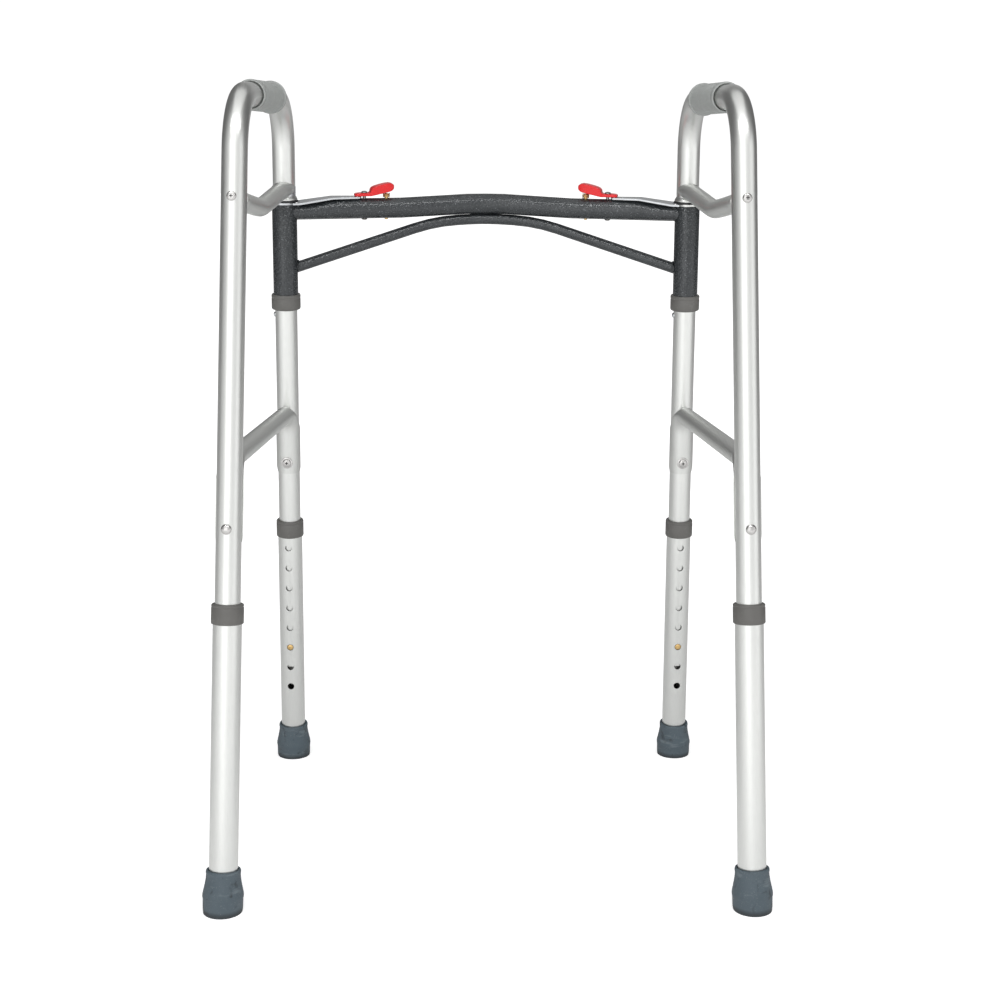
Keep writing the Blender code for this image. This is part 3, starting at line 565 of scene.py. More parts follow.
def flanged_head(name):
    """A wide thin flange with a domed head in its middle."""
    curve = [(0.0066, -0.0004), (0.0068, 0.0), (0.0067, 0.0006), (0.0061, 0.0009), (0.0050, 0.0010)]
    curve += [(0.0048, 0.0015), (0.0043, 0.0021), (0.0034, 0.0025), (0.0020, 0.0027), (0.0006, 0.0028)]
    return turned(name, curve, 40, angle=50)


def cross_recess(head, radius, height):
    for turn in (0.0, math.pi / 2):
        put_down()
        bpy.ops.mesh.primitive_cube_add(size=1.0, location=(0, 0, height))
        slot = bpy.context.object
        slot.scale = (radius * 1.10, radius * 0.26, height * 1.3)
        slot.rotation_euler = (0, 0, turn)
        bpy.ops.object.transform_apply(location=True, rotation=True, scale=True)
        bpy.ops.object.mode_set(mode="EDIT")
        bpy.ops.mesh.select_all(action="DESELECT")
        bpy.ops.object.mode_set(mode="OBJECT")
        for face in slot.data.polygons:
            face.select = face.normal.z < -0.9
        bpy.ops.object.mode_set(mode="EDIT")
        bpy.ops.transform.resize(value=(0.35, 0.35, 1.0), center_override=(0, 0, height / 2))
        put_down()
        cut(head, slot)
    smooth(head, 40)
    return head


def dome_head(name, radius, height, sides=36, sink=0.0006):
    steps = 8
    curve = [(radius * 0.96, -sink), (radius, 0.0)]
    for i in range(1, steps):
        angle = math.pi / 2 * i / steps
        curve.append((radius * math.cos(angle), height * math.sin(angle)))
    return turned(name, curve, sides, angle=60)


# ---------------------------------------------------------------- side frames


def side_tube(side):
    foot = BUTTON_Z - HOLE_PITCH
    corners = [leg_point(side, "rear", foot), leg_point(side, "rear", HANDLE_Z)]
    corners += [leg_point(side, "front", HANDLE_Z), leg_point(side, "front", foot)]
    bends = [HANDLE_BEND_R, HANDLE_BEND_R]
    tube = swept(f"bent_tube_{side}", corners, bends, TUBE_R, 56, math.radians(4))
    close_up(tube, fill=False)
    hold(tube)
    wall = tube.modifiers.new("Wall", "SOLIDIFY")
    wall.thickness = TUBE_WALL
    wall.offset = -1
    bpy.ops.object.modifier_apply(modifier=wall.name)
    bpy.ops.object.shade_smooth_by_angle(angle=math.radians(35))
    low = 2 * CLEAR + PLATE_T + WASHER_T + CLEAR
    flare = [(0.0124, low + 0.0052), (0.0130, low + 0.0046), (0.0140, low + 0.0030)]
    flare += [(0.0148, low + 0.0016), (0.0149, low + 0.0008), (0.0146, low + 0.0001), (0.0124, low)]
    bead = turned(f"swaged_bead_{side}", flare, 48, loop=True, angle=60)
    place_piece(bead, bar_place(side))
    dress(tube, "anodised", f"side_frame_{side}", f"side_frame_tube_{side}")
    dress(bead, "anodised", f"side_frame_{side}")


def hand_grip(side):
    """A moulded sleeve with fine ribs round it, thicker at its front end."""
    corner = {end: leg_point(side, end, HANDLE_Z) for end in ENDS}
    middle = (corner["front"] + corner["rear"]) / 2
    half, bore = 0.060, TUBE_R + 0.0002
    rear_r, front_r, lip, groove = 0.0158, 0.0163, 0.0174, 0.0013
    profile = [(bore, -half + 0.0040), (bore + 0.0011, -half + 0.0036), (bore + 0.0012, -half)]
    profile += [(rear_r - 0.0012, -half), (rear_r - 0.0006, -half + 0.0004)]
    profile += [(rear_r - 0.0002, -half + 0.0012), (rear_r + 0.0001, -half + 0.0030)]
    ribs, first, last = 17, -half + 0.006, half - 0.009
    pitch = (last - first) / ribs
    for i in range(ribs):
        z = first + pitch * i
        crest = rear_r + (front_r - rear_r) * i / ribs
        profile += [(crest, z), (crest, z + pitch * 0.52), (crest - groove, z + pitch * 0.66)]
        profile += [(crest - groove, z + pitch * 0.86)]
    profile += [(front_r - groove, last), (front_r - groove, half - 0.0062), (lip, half - 0.0056)]
    profile += [(lip + 0.0002, half - 0.0035), (lip, half - 0.0016), (lip - 0.0006, half - 0.0005)]
    profile += [(lip - 0.0016, half), (bore + 0.0012, half), (bore, half - 0.0008)]
    grip = turned(f"ribbed_grip_{side}", profile, 64, loop=True, angle=40)
    up = corner["front"] - corner["rear"]
    place_piece(grip, placement(middle, up, Vector((0, 0, 1))))
    dress(grip, "grip", f"side_frame_{side}", f"hand_grip_{side}")


def brace_place(side, z):
    rear, front = leg_point(side, "rear", z), leg_point(side, "front", z)
    return placement(rear, Vector((0, 0, 1)), front - rear), (front - rear).length


def upper_brace(side):
    """A tube with flattened ends and a shallow pressed dip in its middle."""
    place, length = brace_place(side, UPPER_BRACE_Z)
    stations = [0.006, 0.012, 0.018, 0.024, 0.030, 0.036, 0.042, 0.060, 0.090]
    middle = length * 0.48
    dip_run = [middle - 0.020 + 0.004 * i for i in range(11)]
    stations += dip_run + [middle + 0.050] + [length - x for x in reversed(stations)]
    brace = ring(f"dipped_brace_{side}", UPPER_BRACE_R, 40)
    bpy.ops.transform.rotate(value=-math.pi / 2, orient_axis="Y", center_override=(0, 0, 0))
    x, wide, tall, drop = 0.0, 1.0, 1.0, 0.0
    for station in stations:
        near_end = min(station, length - station)
        spread = min(1.0, max(0.0, 1.0 - (near_end - 0.012) / 0.028))
        spread = spread * spread * (3 - 2 * spread)
        next_wide, next_tall = 1.0 + 0.30 * spread, 1.0 - 0.12 * spread
        away = abs(station - middle)
        reach = max(middle, length - middle)
        level = math.sqrt(away * away + 0.012**2) / reach
        next_drop = UPPER_BRACE_DIP * max(0.0, 1.03 - level)
        pull((station - x, 0, drop - next_drop))
        centre = (station, 0, -next_drop)
        bpy.ops.transform.resize(value=(1, next_wide / wide, next_tall / tall), center_override=centre)
        x, wide, tall, drop = station, next_wide, next_tall, next_drop
    pick(brace, lambda spot: abs(spot.x) < 0.001)
    bpy.ops.mesh.delete(type="VERT")
    close_up(brace, 40)
    place_piece(brace, place)
    for end in ENDS:
        cut(brace, peg(TUBE_R + CLEAR, -0.06, 0.06, leg_place(side, end, UPPER_BRACE_Z), 64))
    holes = [Vector((x, -0.0035 * SIDES[side], 0)) for x in (length - 0.026, length - 0.036)]
    for hole in holes:
        cut(brace, peg(0.0015, 0.0035, 0.020, place @ Matrix.Translation(hole), 20))
    smooth(brace, 40)
    dress(brace, "brace", f"side_frame_{side}", f"upper_brace_{side}")

    def in_hole(spot):
        return min((spot.xy - hole.xy).length for hole in holes) < 0.00152

    # Painted shade on the walls of the two small holes
    paint(brace, "hole_shade", place, in_hole)


def lower_brace(side):
    """A tube between the legs that turns down at each end and hugs the leg as a saddle."""
    sides = 40
    rows = saddle_rows(side, "rear", sides)
    for row in reversed(saddle_rows(side, "front", sides)):
        rows.append([row[(sides - i) % sides] for i in range(sides)])
    brace = ring(f"saddle_brace_{side}", 0.01, sides)
    for _ in rows[1:]:
        pull((0, 0, 0.001))
    put_down()
    for vertex, point in zip(brace.data.vertices, [p for row in rows for p in row]):
        vertex.co = point
    close_up(brace, 40)
    for end in ENDS:
        cut(brace, peg(TUBE_R + CLEAR, -0.16, 0.10, leg_place(side, end, SADDLE_SCREW_Z + 0.03), 64))
    smooth(brace, 40)
    dress(brace, "brace", f"side_frame_{side}", f"lower_brace_{side}")


def saddle_rows(side, end, sides):
    """World points of the rings from the saddle's lower edge up round the bend to the straight run."""
    level = LOWER_BRACE_Z[end]
    place = leg_place(side, end, level)
    foot = up_leg(side, end, SADDLE_Z, level)
    rows = []
    lip = 0.003
    for i in range(10):
        height = foot + (-0.026 - foot) * i / 9
        narrow = math.sqrt(max(0.0, 1 - max(0.0, 1 - (height - foot) / lip) ** 2)) if i else 0.45
        outline = saddle_outline(0.0, sides)
        rows.append([place @ Vector((x, y * max(0.93, narrow), height)) for x, y in outline])
    hub = Vector((0.0300, 0, -0.020))
    for i in range(13):
        angle = math.pi / 2 * i / 12
        t = i / 12
        blend = t * t * (3 - 2 * t) * 0.88 + 0.12 * (1 if i else 0)
        row = []
        centre = hub + Vector((-math.cos(angle), 0, math.sin(angle))) * 0.020
        for x, y in saddle_outline(min(1.0, blend), sides):
            out = Vector((math.cos(angle), 0, -math.sin(angle))) * (x - 0.0100)
            row.append(place @ (centre + out + Vector((0, y, 0))))
        rows.append(row)
    return rows


def saddle_outline(blend, sides):
    outline = []
    for i in range(sides):
        angle = 2 * math.pi * i / sides
        half = (max(SADDLE_R * math.cos(angle), 0.0015), SADDLE_R * math.sin(angle))
        full = (0.0100 + LOWER_BRACE_R * math.cos(angle), LOWER_BRACE_R * math.sin(angle))
        outline.append(tuple(h + (f - h) * blend for h, f in zip(half, full)))
    return outline


def brace_fixings(side, end):
    outward = Matrix.Rotation(-math.pi / 2, 4, "Y")
    body = f"side_frame_{side}"
    radius, height = 0.0048, 0.0024
    screw = cross_recess(pan_head(f"upper_screw_{end}_{side}", radius, height), radius, height)
    seat = leg_place(side, end, UPPER_BRACE_Z) @ outward @ Matrix.Translation((0, 0, TUBE_R + CLEAR))
    dress(place_piece(screw, seat), "chrome", body, f"upper_brace_screw_{end}_{side}")
    # Painted shade in the cross recess
    paint(screw, "hole_shade", seat, in_recess(radius, height))
    low = leg_place(side, end, SADDLE_SCREW_Z)
    radius, height = 0.0050, 0.0027
    screw = cross_recess(flanged_head(f"saddle_screw_{end}_{side}"), radius, height)
    seat = low @ X_TURN @ Matrix.Translation((0, 0, SADDLE_R + CLEAR))
    dress(place_piece(screw, seat), "chrome", body, f"lower_brace_screw_{end}_{side}")
    # Painted shade in the cross recess
    paint(screw, "hole_shade", seat, in_recess(radius, height))
    dome = dome_head(f"barrel_dome_{end}_{side}", 0.0053, 0.0031)
    place_piece(dome, low @ outward @ Matrix.Translation((0, 0, TUBE_R + CLEAR)))
    dress(dome, "chrome", body, f"barrel_nut_{end}_{side}")


# ---------------------------------------------------------------- adjustable legs


def lower_leg_shape():
    """The lower tube about its button, with its row of holes facing +X."""
    low, high = -0.1350, 0.1556
    profile = [(LOWER_BORE_R, low), (LOWER_R - 0.0002, low), (LOWER_R, low + 0.0002), (LOWER_R, high)]
    profile += [(LOWER_BORE_R, high)]
    tube = turned("lower_tube", profile, 64, loop=True)
    for i in range(8):
        height = (5 - i) * HOLE_PITCH
        cut(tube, peg(HOLE_R, 0.006, 0.02, Matrix.Translation((0, 0, height)) @ X_TURN, 40))
    smooth(tube, 35)
    return tube


def in_wall(spot):
    """True inside the thickness of the lower tube, away from its two ends."""
    return LOWER_BORE_R + 0.0001 < spot.xy.length < LOWER_R - 0.0003 and -0.130 < spot.z < 0.150


def leg_collar_shape(height):
    r, bore = 0.0161, LOWER_R + 0.0002
    profile = [(bore, -0.0003), (r - 0.0010, 0.0), (r - 0.0003, 0.0003), (r, 0.0011)]
    profile += [(r, height - 0.0042)]
    profile += [(r - 0.0004, height - 0.0036), (r - 0.0004, height - 0.0030), (r, height - 0.0024)]
    profile += [(r - 0.0002, height - 0.0012), (r - 0.0012, height - 0.0003), (r - 0.0024, height)]
    mouth = TUBE_R + CLEAR
    profile += [(mouth + 0.0003, height), (mouth, height - 0.0006), (mouth, height - 0.0030)]
    profile += [(bore, height - 0.0032)]
    return turned("leg_collar", profile, 56, loop=True, angle=50)


def rubber_tip_shape():
    """The tapered foot with a rolled lip, taller than it needs to be; the floor cuts it level."""
    top, bore = 0.0425, LOWER_R + CLEAR
    profile = [(bore, top - 0.0010), (bore + 0.0008, top - 0.0002), (0.0162, top), (0.0169, top - 0.0005)]
    profile += [(0.0173, top - 0.0014), (0.0174, top - 0.0030), (0.0172, top - 0.0042)]
    profile += [(0.0171, top - 0.0052), (0.0173, top - 0.0085), (0.0180, top - 0.0130)]
    profile += [(0.0190, top - 0.0180), (0.0199, 0.0205)]
    profile += [(0.0204, 0.0180), (0.0205, 0.0160), (0.0203, 0.0145), (0.0200, 0.0132), (0.0199, 0.0060)]
    profile += [(0.0198, 0.0026), (0.0195, 0.0014), (0.0192, -0.0060), (0.0004, -0.0060)]
    profile += [(0.0004, 0.0115), (bore, 0.0115)]
    return turned("rubber_tip", profile, 64, loop=True, angle=50)


def foot_cut(tip):
    """Levels the tip on the floor and closes the cut."""
    open_up(tip)
    bpy.ops.mesh.bisect(plane_co=(0, 0, 0), plane_no=(0, 0, 1), use_fill=True, clear_inner=True)
    put_down()
    return tip


def legs():
    tube, tip = lower_leg_shape(), rubber_tip_shape()
    collar = leg_collar_shape(0.0201)
    for side in SIDES:
        for end in ENDS:
            tag, body = f"{end}_{side}", f"leg_{end}_{side}"
            seat = leg_place(side, end, BUTTON_Z)
            piece = place_piece(copy_of(tube, f"lower_tube_{tag}"), seat)
            dress(piece, "anodised", body, f"lower_leg_{tag}")
            # Painted shade on the walls of the button holes
            paint(piece, "hole_shade", seat, in_wall)
            piece = copy_of(collar, f"rolled_collar_{tag}")
            place_piece(piece, leg_place(side, end, LEG_COLLAR[0]))
            dress(piece, "grey_plastic", body, f"leg_collar_{tag}")
            piece = foot_cut(place_piece(copy_of(tip, f"foot_{tag}"), leg_place(side, end, 0.0)))
            smooth(piece, 50)
            dress(piece, "rubber", body, f"rubber_tip_{tag}")
            button = dome_head(f"button_dome_{tag}", 0.0037, 0.0014, sink=0.0022)
            seat = leg_place(side, end, BUTTON_Z) @ X_TURN @ Matrix.Translation((0, 0, LOWER_R - 0.0008))
            dress(place_piece(button, seat), "brass", f"button_{tag}", f"snap_button_{tag}")
    for shape in (tube, tip, collar):
        bpy.data.objects.remove(shape)


# ---------------------------------------------------------------- front frame


def crossbar():
    """One half is drawn out from its pressed end to the centre plane, then mirrored."""
    side = "right"
    place = bar_place(side)
    length = bar_length(side)
    bar = ring("bowed_crossbar", BAR_R, 48)
    bpy.ops.transform.rotate(value=-math.pi / 2, orient_axis="Y", center_override=(0, 0, 0))
    stations = [0.006, 0.016, 0.022, 0.028, 0.034, 0.040, 0.046, 0.052, 0.058, 0.064, 0.110, BAR_CLIMB_X]
    bottom = -BAR_DOWN - BAR_R
    x, tall = 0.0, 1.0
    low = 0.0
    for station in stations:
        t = min(1.0, max(0.0, (station - 0.022) / 0.042))
        rise = (BAR_R - BAR_DOWN) * t * t * (3 - 2 * t)
        next_tall = (rise - bottom) / (2 * BAR_R)
        next_low = bottom + BAR_R * next_tall
        pull((station - x, 0, next_low - low))
        bpy.ops.transform.resize(value=(1, 1, next_tall / tall), center_override=(station, 0, next_low))
        x, tall, low = station, next_tall, next_low
    bend = math.pi / 2 - math.acos(abs(place.col[0].y))
    reach = BAR_BEND_R * math.tan(bend)
    climb = BAR_CLIMB * (length - reach - x) / (length - x)
    pull((length - reach - x, 0, climb))
    low += climb
    pick(bar, lambda spot: abs(spot.x) < 0.001)
    bpy.ops.mesh.delete(type="VERT")
    put_down()
    place_piece(bar, place)
    end_point = place @ Vector((length - reach, 0, low))
    heading = place.col[0].xyz
    sideways = Vector((0, 0, 1)).cross(heading).normalized()
    if sideways.y > 0:
        sideways = -sideways
    centre = end_point + sideways * BAR_BEND_R
    into_bar = place.inverted()
    pick(bar, lambda spot: (into_bar @ spot).x > length - reach - 0.0001)
    axis = (end_point - centre).cross(heading).normalized()
    bpy.ops.mesh.spin(steps=8, angle=-bend * 1.15, center=tuple(centre), axis=tuple(axis))
    bpy.ops.mesh.select_all(action="SELECT")
    bpy.ops.mesh.bisect(plane_co=(0, 0, 0), plane_no=(1, 0, 0), clear_inner=True)
    put_down()
    hold(bar)
    mirror_over(bar)
    close_up(bar, 40)
    for name in SIDES:
        cut(bar, peg(SLEEVE_R + CLEAR, -0.05, 0.05, bar_place(name), 64))
        for x, radius in ((PIVOT_X, 0.0022), (PIN_X, 0.0027)):
            cut(bar, peg(radius, -0.04, 0.03, bar_place(name, x), 24))
    smooth(bar, 40)
    dress(bar, "hammertone", "front_frame", "front_crossbar")


def mirror_over(piece):
    twin = piece.modifiers.new("Twin", "MIRROR")
    twin.use_axis[0] = True
    twin.use_clip = False
    twin.merge_threshold = 0.00005
    bpy.ops.object.modifier_apply(modifier=twin.name)


def arch_brace():
    flat = -BAR_DOWN - BAR_R - ARCH_R - CLEAR
    right, left = bar_place("right"), bar_place("left")
    length = bar_length("right")
    corner = flat + BAR_CLIMB * (ARCH_CORNER_X - BAR_CLIMB_X) / (length - BAR_CLIMB_X)
    corners = [
        left @ Vector((SLEEVE_R - 0.006, 0, -ARCH_DROP)),
        left @ Vector((ARCH_CORNER_X, 0, corner)),
        right @ Vector((length, 0, flat + BAR_CLIMB)),
        right @ Vector((ARCH_CORNER_X, 0, corner)),
        right @ Vector((SLEEVE_R - 0.006, 0, -ARCH_DROP)),
    ]
    brace = swept("arched_brace", corners, [ARCH_BEND_R, BAR_BEND_R, ARCH_BEND_R], ARCH_R, 32)
    close_up(brace, 40)
    for name in SIDES:
        cut(brace, peg(SLEEVE_R + CLEAR, -0.12, 0.0, bar_place(name), 64))
    smooth(brace, 40)
    dress(brace, "hammertone", "front_frame", "front_arch_brace")


def sleeve(side):
    length = up_leg(side, "front", SLEEVE_TOP, SLEEVE_FOOT)
    r = SLEEVE_R
    profile = [(SLEEVE_BORE_R, 0.0), (r - 0.0004, 0.0), (r, -0.0004), (r, -length)]
    profile += [(SLEEVE_BORE_R, -length)]
    tube = turned(f"hinge_tube_{side}", profile, 64, loop=True, angle=50)
    place_piece(tube, leg_place(side, "front", SLEEVE_TOP))
    dress(tube, "hammertone", "front_frame", f"hinge_sleeve_{side}")
    top = up_leg(side, "front", SLEEVE_COLLAR[1], SLEEVE_COLLAR[0])
    r, bore = 0.0167, SLEEVE_R + CLEAR
    shelf = up_leg(side, "front", SLEEVE_FOOT, SLEEVE_COLLAR[0]) - CLEAR
    profile = [(bore, top), (r - 0.0015, top), (r - 0.0005, top - 0.0004), (r, top - 0.0014)]
    profile += [(r, top - 0.0036), (r - 0.0003, top - 0.0042), (r - 0.0003, top - 0.0048)]
    profile += [(r, top - 0.0054)]
    profile += [(r, 0.0022), (r - 0.0005, 0.0008), (r - 0.0020, 0.0), (SLEEVE_BORE_R + 0.0002, 0.0)]
    profile += [(SLEEVE_BORE_R, 0.0005), (SLEEVE_BORE_R, shelf), (bore, shelf)]
    bush = turned(f"sleeve_bush_{side}", profile, 64, loop=True, angle=50)
    place_piece(bush, leg_place(side, "front", SLEEVE_COLLAR[0]))
    dress(bush, "grey_plastic", "front_frame", f"sleeve_collar_{side}")


def weld_bead(side):
    """The uneven bead of weld where the arch brace meets the sleeve."""
    place = bar_place(side) @ Matrix.Translation((SLEEVE_R + 0.0008, 0, -ARCH_DROP + 0.003))
    put_down()
    bpy.ops.mesh.primitive_torus_add(
        major_radius=0.0060, minor_radius=0.0010, major_segments=36, minor_segments=10
    )
    bead = bpy.context.object
    bead.name = bead.data.name = f"arch_weld_{side}"
    for i, vertex in enumerate(bead.data.vertices):
        vertex.co *= 1 + 0.03 * math.sin(i * 1.7)
    bpy.ops.object.shade_smooth()
    place_piece(bead, place @ X_TURN)
    return bead


# ---------------------------------------------------------------- fold catch


def plate(side):
    """The zinc strip: a round pad about the leg that steps up onto the crossbar."""
    put_down()
    bpy.ops.mesh.primitive_circle_add(vertices=64, radius=0.0172, fill_type="NGON")
    piece = bpy.context.object
    piece.name = piece.data.name = f"catch_plate_{side}"
    bpy.ops.object.mode_set(mode="EDIT")
    bpy.ops.mesh.select_all(action="SELECT")
    pull((0, 0, PLATE_T))
    put_down()
    strip = strip_shape()
    close_up(piece, fill=True)
    cut(piece, strip, "UNION")
    for x in (0.0140, *PLATE_RAMP):
        open_up(piece)
        bpy.ops.mesh.bisect(plane_co=(x, 0, 0), plane_no=(1, 0, 0))
        put_down()
    for vertex in piece.data.vertices:
        vertex.co.z += CLEAR + bar_rise(vertex.co.x, PLATE_RAMP)
    close_up(piece, 30, bevel=0.0003)
    place_piece(piece, bar_place(side))
    cut(piece, peg(TUBE_R + CLEAR, -0.02, 0.02, bar_place(side), 64))
    smooth(piece, 30)
    dress(piece, "zinc", f"side_frame_{side}", f"hinge_plate_{side}")


def strip_shape():
    """The tapering strip of the plate, flat on Z = 0."""
    put_down()
    bpy.ops.mesh.primitive_plane_add(size=1.0)
    strip = bpy.context.object
    corners = [(0.0060, -0.0156), (PLATE_END, -0.0068), (0.0060, 0.0156), (PLATE_END, 0.0068)]
    for vertex, (x, y) in zip(strip.data.vertices, corners):
        vertex.co = (x, y, 0.0)
    bpy.ops.object.mode_set(mode="EDIT")
    bpy.ops.mesh.select_all(action="SELECT")
    pull((0, 0, PLATE_T))
    put_down()
    close_up(strip)
    for vertex in strip.data.vertices:
        vertex.select = vertex.co.x > 0.08
    for edge in strip.data.edges:
        ends = [strip.data.vertices[i].co for i in edge.vertices]
        edge.select = all(p.x > 0.08 for p in ends) and abs(ends[0].z - ends[1].z) > 0.001
    for face in strip.data.polygons:
        face.select = False
    bpy.ops.object.mode_set(mode="EDIT")
    bpy.ops.mesh.select_mode(type="EDGE")
    bpy.ops.mesh.bevel(offset=0.0030, segments=6)
    bpy.ops.mesh.select_mode(type="VERT")
    put_down()
    return strip


def washer(side):
    low = 2 * CLEAR + PLATE_T
    high = low + WASHER_T
    profile = [(TUBE_R + CLEAR, low), (0.0152, low), (0.0157, low + 0.0003), (0.0158, low + 0.0009)]
    profile += [(0.0157, high - 0.0005), (0.0152, high), (TUBE_R + CLEAR, high)]
    piece = turned(f"black_washer_{side}", profile, 56, loop=True, angle=50)
    place_piece(piece, bar_place(side))
    dress(piece, "black_plastic", f"side_frame_{side}", f"hinge_washer_{side}")


def lever(side):
    """Thin nose, a hole for the rivet, and a thick rounded paddle that slopes up."""
    half, thick = 0.0066, 0.0034
    under = plate_top(PLATE_END) + LEVER_LIFT
    # Distance along the bar, underside, thickness and share of the full width
    stations = [(0.0806, 0.0, 0.0022, 0.85), (0.0830, 0.0, 0.0030, 1.0), (0.0870, 0.0, thick, 1.0)]
    stations += [(0.0970, 0.0, thick, 1.0), (0.0988, 0.0, thick + 0.0012, 1.03)]
    stations += [(0.0994, 0.0001, 0.0074, 1.08), (0.1008, 0.0004, 0.0090, 1.10)]
    stations += [(0.1040, 0.0011, 0.0099, 1.10), (0.1090, 0.0022, 0.0103, 1.10)]
    stations += [(0.1160, 0.0038, 0.0103, 1.10), (0.1208, 0.0050, 0.0097, 1.06)]
    stations += [(0.1234, 0.0060, 0.0082, 0.96), (0.1250, 0.0073, 0.0060, 0.84)]
    stations += [(0.1259, 0.0086, 0.0036, 0.70)]
    rows = []
    for x, lift, height, wide in stations:
        w = half * wide
        rows.append([(x, -w, lift), (x, w, lift), (x, w, lift + height), (x, -w, lift + height)])
    piece = ring(f"red_lever_{side}", 0.01, 4)
    for _ in rows[1:]:
        pull((0, 0, 0.001))
    put_down()
    points = [p for row in rows for p in row]
    for vertex, (x, y, z) in zip(piece.data.vertices, points):
        vertex.co = (x, y, under + z)
    close_up(piece, 30)
    hold(piece)
    soften = piece.modifiers.new("Soften", "BEVEL")
    soften.width = 0.0016
    soften.segments = 4
    soften.limit_method = "ANGLE"
    soften.angle_limit = math.radians(50)
    bpy.ops.object.modifier_apply(modifier=soften.name)
    cut(piece, peg(0.0028, -0.02, 0.03, Matrix.Translation((PIVOT_X, 0, 0)), 32))
    smooth(piece, 40)
    place_piece(piece, bar_place(side))
    dress(piece, "red_plastic", f"lever_{side}", f"release_lever_{side}")


def catch_hardware(side):
    under, bottom = plate_top(PLATE_END) + LEVER_LIFT, -BAR_DOWN - BAR_R
    top = under + LEVER_T + 0.0008
    profile = [(0.0001, top + 0.0017), (0.0014, top + 0.0016), (0.0026, top + 0.0012)]
    profile += [(0.0035, top + 0.0006), (0.0038, top), (0.0020, top)]
    profile += [(0.0020, bottom - CLEAR), (0.0033, bottom - CLEAR)]
    profile += [(0.0031, bottom - 0.0009), (0.0020, bottom - 0.0014), (0.0002, bottom - 0.0015)]
    rivet = place_piece(turned(f"pivot_rivet_{side}", profile, 32, angle=50), bar_place(side, PIVOT_X))
    dress(rivet, "dark_steel", "front_frame", f"lever_rivet_{side}")
    top = under + (PIN_X - 0.0045 - PADDLE_BEND_X) * math.tan(PADDLE_TILT) - CLEAR
    profile = [(0.0001, top), (0.0018, top), (0.0020, top - 0.0003), (0.0020, bottom - 0.0006)]
    profile += [(0.0018, bottom - 0.0010), (0.0012, bottom - 0.0013), (0.0001, bottom - 0.0013)]
    pin = place_piece(turned(f"brass_pin_{side}", profile, 32, angle=50), bar_place(side, PIN_X))
    dress(pin, "brass", f"catch_pin_{side}", f"lever_pin_{side}")
    spring(side, under)


def spring(side, under):
    """A wire ring screwed up in a helix between the bar and the paddle."""
    coil_r, wire_r, turns = 0.0037, 0.00055, 3
    low = bar_rise(PIN_X) + wire_r + CLEAR
    high = under + (PIN_X - coil_r - PADDLE_BEND_X) * math.tan(PADDLE_TILT) - wire_r - CLEAR
    put_down()
    bpy.ops.mesh.primitive_circle_add(
        vertices=12, radius=wire_r, rotation=(math.pi / 2, 0, 0), location=(coil_r, 0, low)
    )
    piece = bpy.context.object
    piece.name = piece.data.name = f"coil_spring_{side}"
    bpy.ops.object.transform_apply(location=True, rotation=True, scale=True)
    coil = piece.modifiers.new("Coil", "SCREW")
    coil.angle = 2 * math.pi * turns
    coil.screw_offset = high - low
    coil.steps = coil.render_steps = 28 * turns
    bpy.ops.object.modifier_apply(modifier=coil.name)
    close_up(piece, 50)
    place_piece(piece, bar_place(side, PIN_X))
    dress(piece, "brass", "front_frame", f"lever_spring_{side}")


def stop_rivet(side):
    place = leg_place(side, "front", 0.5530)
    facing = placement(place.translation, Vector((-1, 0, 0)), Vector((0, 0, 1)))
    head = dome_head(f"stop_head_{side}", 0.0030, 0.0017)
    place_piece(head, facing @ Matrix.Translation((0, 0, TUBE_R + CLEAR)))
    dress(head, "zinc", f"side_frame_{side}", f"stop_rivet_{side}")


# ---------------------------------------------------------------- studio


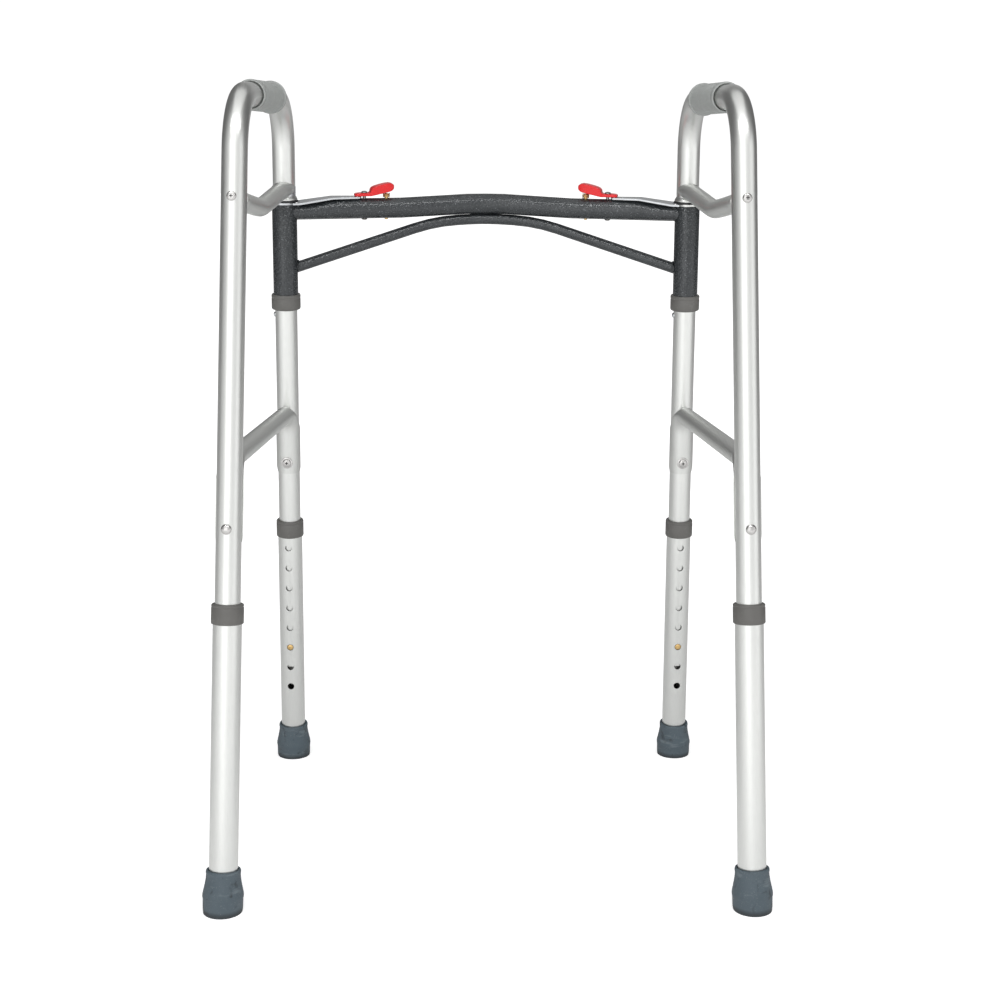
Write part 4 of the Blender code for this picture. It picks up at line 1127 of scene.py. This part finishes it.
def studio():
    put_down()
    bpy.ops.mesh.primitive_plane_add(size=40.0, location=(0, 0, 0))
    floor = bpy.context.object
    floor.name = "floor"
    paper = bpy.data.materials.new("studio_paper")
    paper.use_nodes = True
    shader = paper.node_tree.nodes["Principled BSDF"]
    shader.inputs["Base Color"].default_value = (0.90, 0.90, 0.90, 1)
    shader.inputs["Emission Color"].default_value = (1, 1, 1, 1)
    nodes, links = paper.node_tree.nodes, paper.node_tree.links
    coords, away = nodes.new("ShaderNodeTexCoord"), nodes.new("ShaderNodeVectorMath")
    away.operation = "LENGTH"
    fade = nodes.new("ShaderNodeMapRange")
    for socket, value in (("From Min", 0.3), ("From Max", 1.8), ("To Min", 0.58), ("To Max", 0.95)):
        fade.inputs[socket].default_value = value
    links.new(coords.outputs["Object"], away.inputs[0])
    links.new(away.outputs["Value"], fade.inputs["Value"])
    split, spill = nodes.new("ShaderNodeSeparateXYZ"), nodes.new("ShaderNodeMapRange")
    for socket, value in (("From Min", -1.3), ("From Max", 0.2), ("To Min", 0.62), ("To Max", 0.04)):
        spill.inputs[socket].default_value = value
    links.new(coords.outputs["Object"], split.inputs["Vector"])
    links.new(split.outputs["Y"], spill.inputs["Value"])
    seen, glow = nodes.new("ShaderNodeLightPath"), nodes.new("ShaderNodeMapRange")
    links.new(seen.outputs["Is Camera Ray"], glow.inputs["Value"])
    links.new(spill.outputs["Result"], glow.inputs["To Min"])
    links.new(fade.outputs["Result"], glow.inputs["To Max"])
    links.new(glow.outputs["Result"], shader.inputs["Emission Strength"])
    shader.inputs["Roughness"].default_value = 0.8
    shader.inputs["Specular IOR Level"].default_value = 0.1
    floor.data.materials.append(paper)
    world = bpy.data.worlds.new("studio")
    world.use_nodes = True
    tree = world.node_tree
    backdrop = tree.nodes["Background"]
    backdrop.inputs["Color"].default_value = (1, 1, 1, 1)
    seen = tree.nodes.new("ShaderNodeLightPath")
    level = tree.nodes.new("ShaderNodeMapRange")
    around, split = tree.nodes.new("ShaderNodeTexCoord"), tree.nodes.new("ShaderNodeSeparateXYZ")
    dimmer = tree.nodes.new("ShaderNodeMapRange")
    for socket, value in (("From Min", -1.0), ("From Max", 0.15), ("To Min", 0.92), ("To Max", 0.13)):
        dimmer.inputs[socket].default_value = value
    tree.links.new(around.outputs["Generated"], split.inputs["Vector"])
    tree.links.new(split.outputs["Y"], dimmer.inputs["Value"])
    tree.links.new(dimmer.outputs["Result"], level.inputs["To Min"])
    level.inputs["To Max"].default_value = 1.05
    tree.links.new(seen.outputs["Is Camera Ray"], level.inputs["Value"])
    tree.links.new(level.outputs["Result"], backdrop.inputs["Strength"])
    bpy.context.scene.world = world
    lights = (
        ("key", (-0.9, -3.0, 1.3), 2.6, 2.6, 16.0),
        ("fill", (2.6, -1.2, 1.0), 1.8, 1.8, 5.0),
        ("top", (0.0, 0.2, 2.9), 2.4, 2.4, 12.0),
        ("strip", (0.0, -1.2, 2.2), 2.6, 0.09, 14.0),
        ("back", (0.3, 2.6, 1.4), 2.0, 2.0, 3.5),
    )
    for name, location, width, depth, power in lights:
        lamp = bpy.data.lights.new(name, "AREA")
        lamp.shape = "RECTANGLE"
        lamp.size = width
        lamp.size_y = depth
        lamp.energy = power
        holder = bpy.data.objects.new(name, lamp)
        bpy.context.scene.collection.objects.link(holder)
        holder.location = location
        aim = Vector((0, 0, 0.45)) - Vector(location)
        holder.rotation_euler = aim.to_track_quat("-Z", "Y").to_euler()


def camera():
    yaw, pitch, roll = -0.02056, 0.1740, 0.0049
    lens_ratio, axis_rise = 1.7188, 0.0650
    body = bpy.data.cameras.new("camera")
    body.sensor_width = 36.0
    body.lens = lens_ratio * 36.0
    body.shift_y = -axis_rise
    body.dof.use_dof = False
    holder = bpy.data.objects.new("camera", body)
    bpy.context.scene.collection.objects.link(holder)
    ahead = Vector((-math.sin(yaw) * math.cos(pitch), math.cos(yaw) * math.cos(pitch), -math.sin(pitch)))
    right = Vector((math.cos(yaw), math.sin(yaw), 0))
    up = right.cross(ahead)
    level_right = right * math.cos(roll) + up * math.sin(roll)
    level_up = up * math.cos(roll) - right * math.sin(roll)
    turn = Matrix((level_right, level_up, -ahead)).transposed().to_4x4()
    turn.translation = (-0.0238, -1.8205, 0.7609)
    holder.matrix_world = turn
    bpy.context.scene.camera = holder


put_down()
for name in SIDES:
    side_tube(name)
    hand_grip(name)
    upper_brace(name)
    lower_brace(name)
    for which in ENDS:
        brace_fixings(name, which)
    sleeve(name)
    dress(weld_bead(name), "hammertone", "front_frame")
    plate(name)
    washer(name)
    lever(name)
    catch_hardware(name)
    stop_rivet(name)
legs()
crossbar()
arch_brace()
for cad_name, cad_node in frame["nodes"].items():
    if cad_name.startswith("snap_spring"):
        cad_node.data.materials.clear()
        cad_node.data.materials.append(FINISHES["zinc"])
studio()
camera()
bpy.context.scene.view_settings.view_transform = "Standard"

put_down()
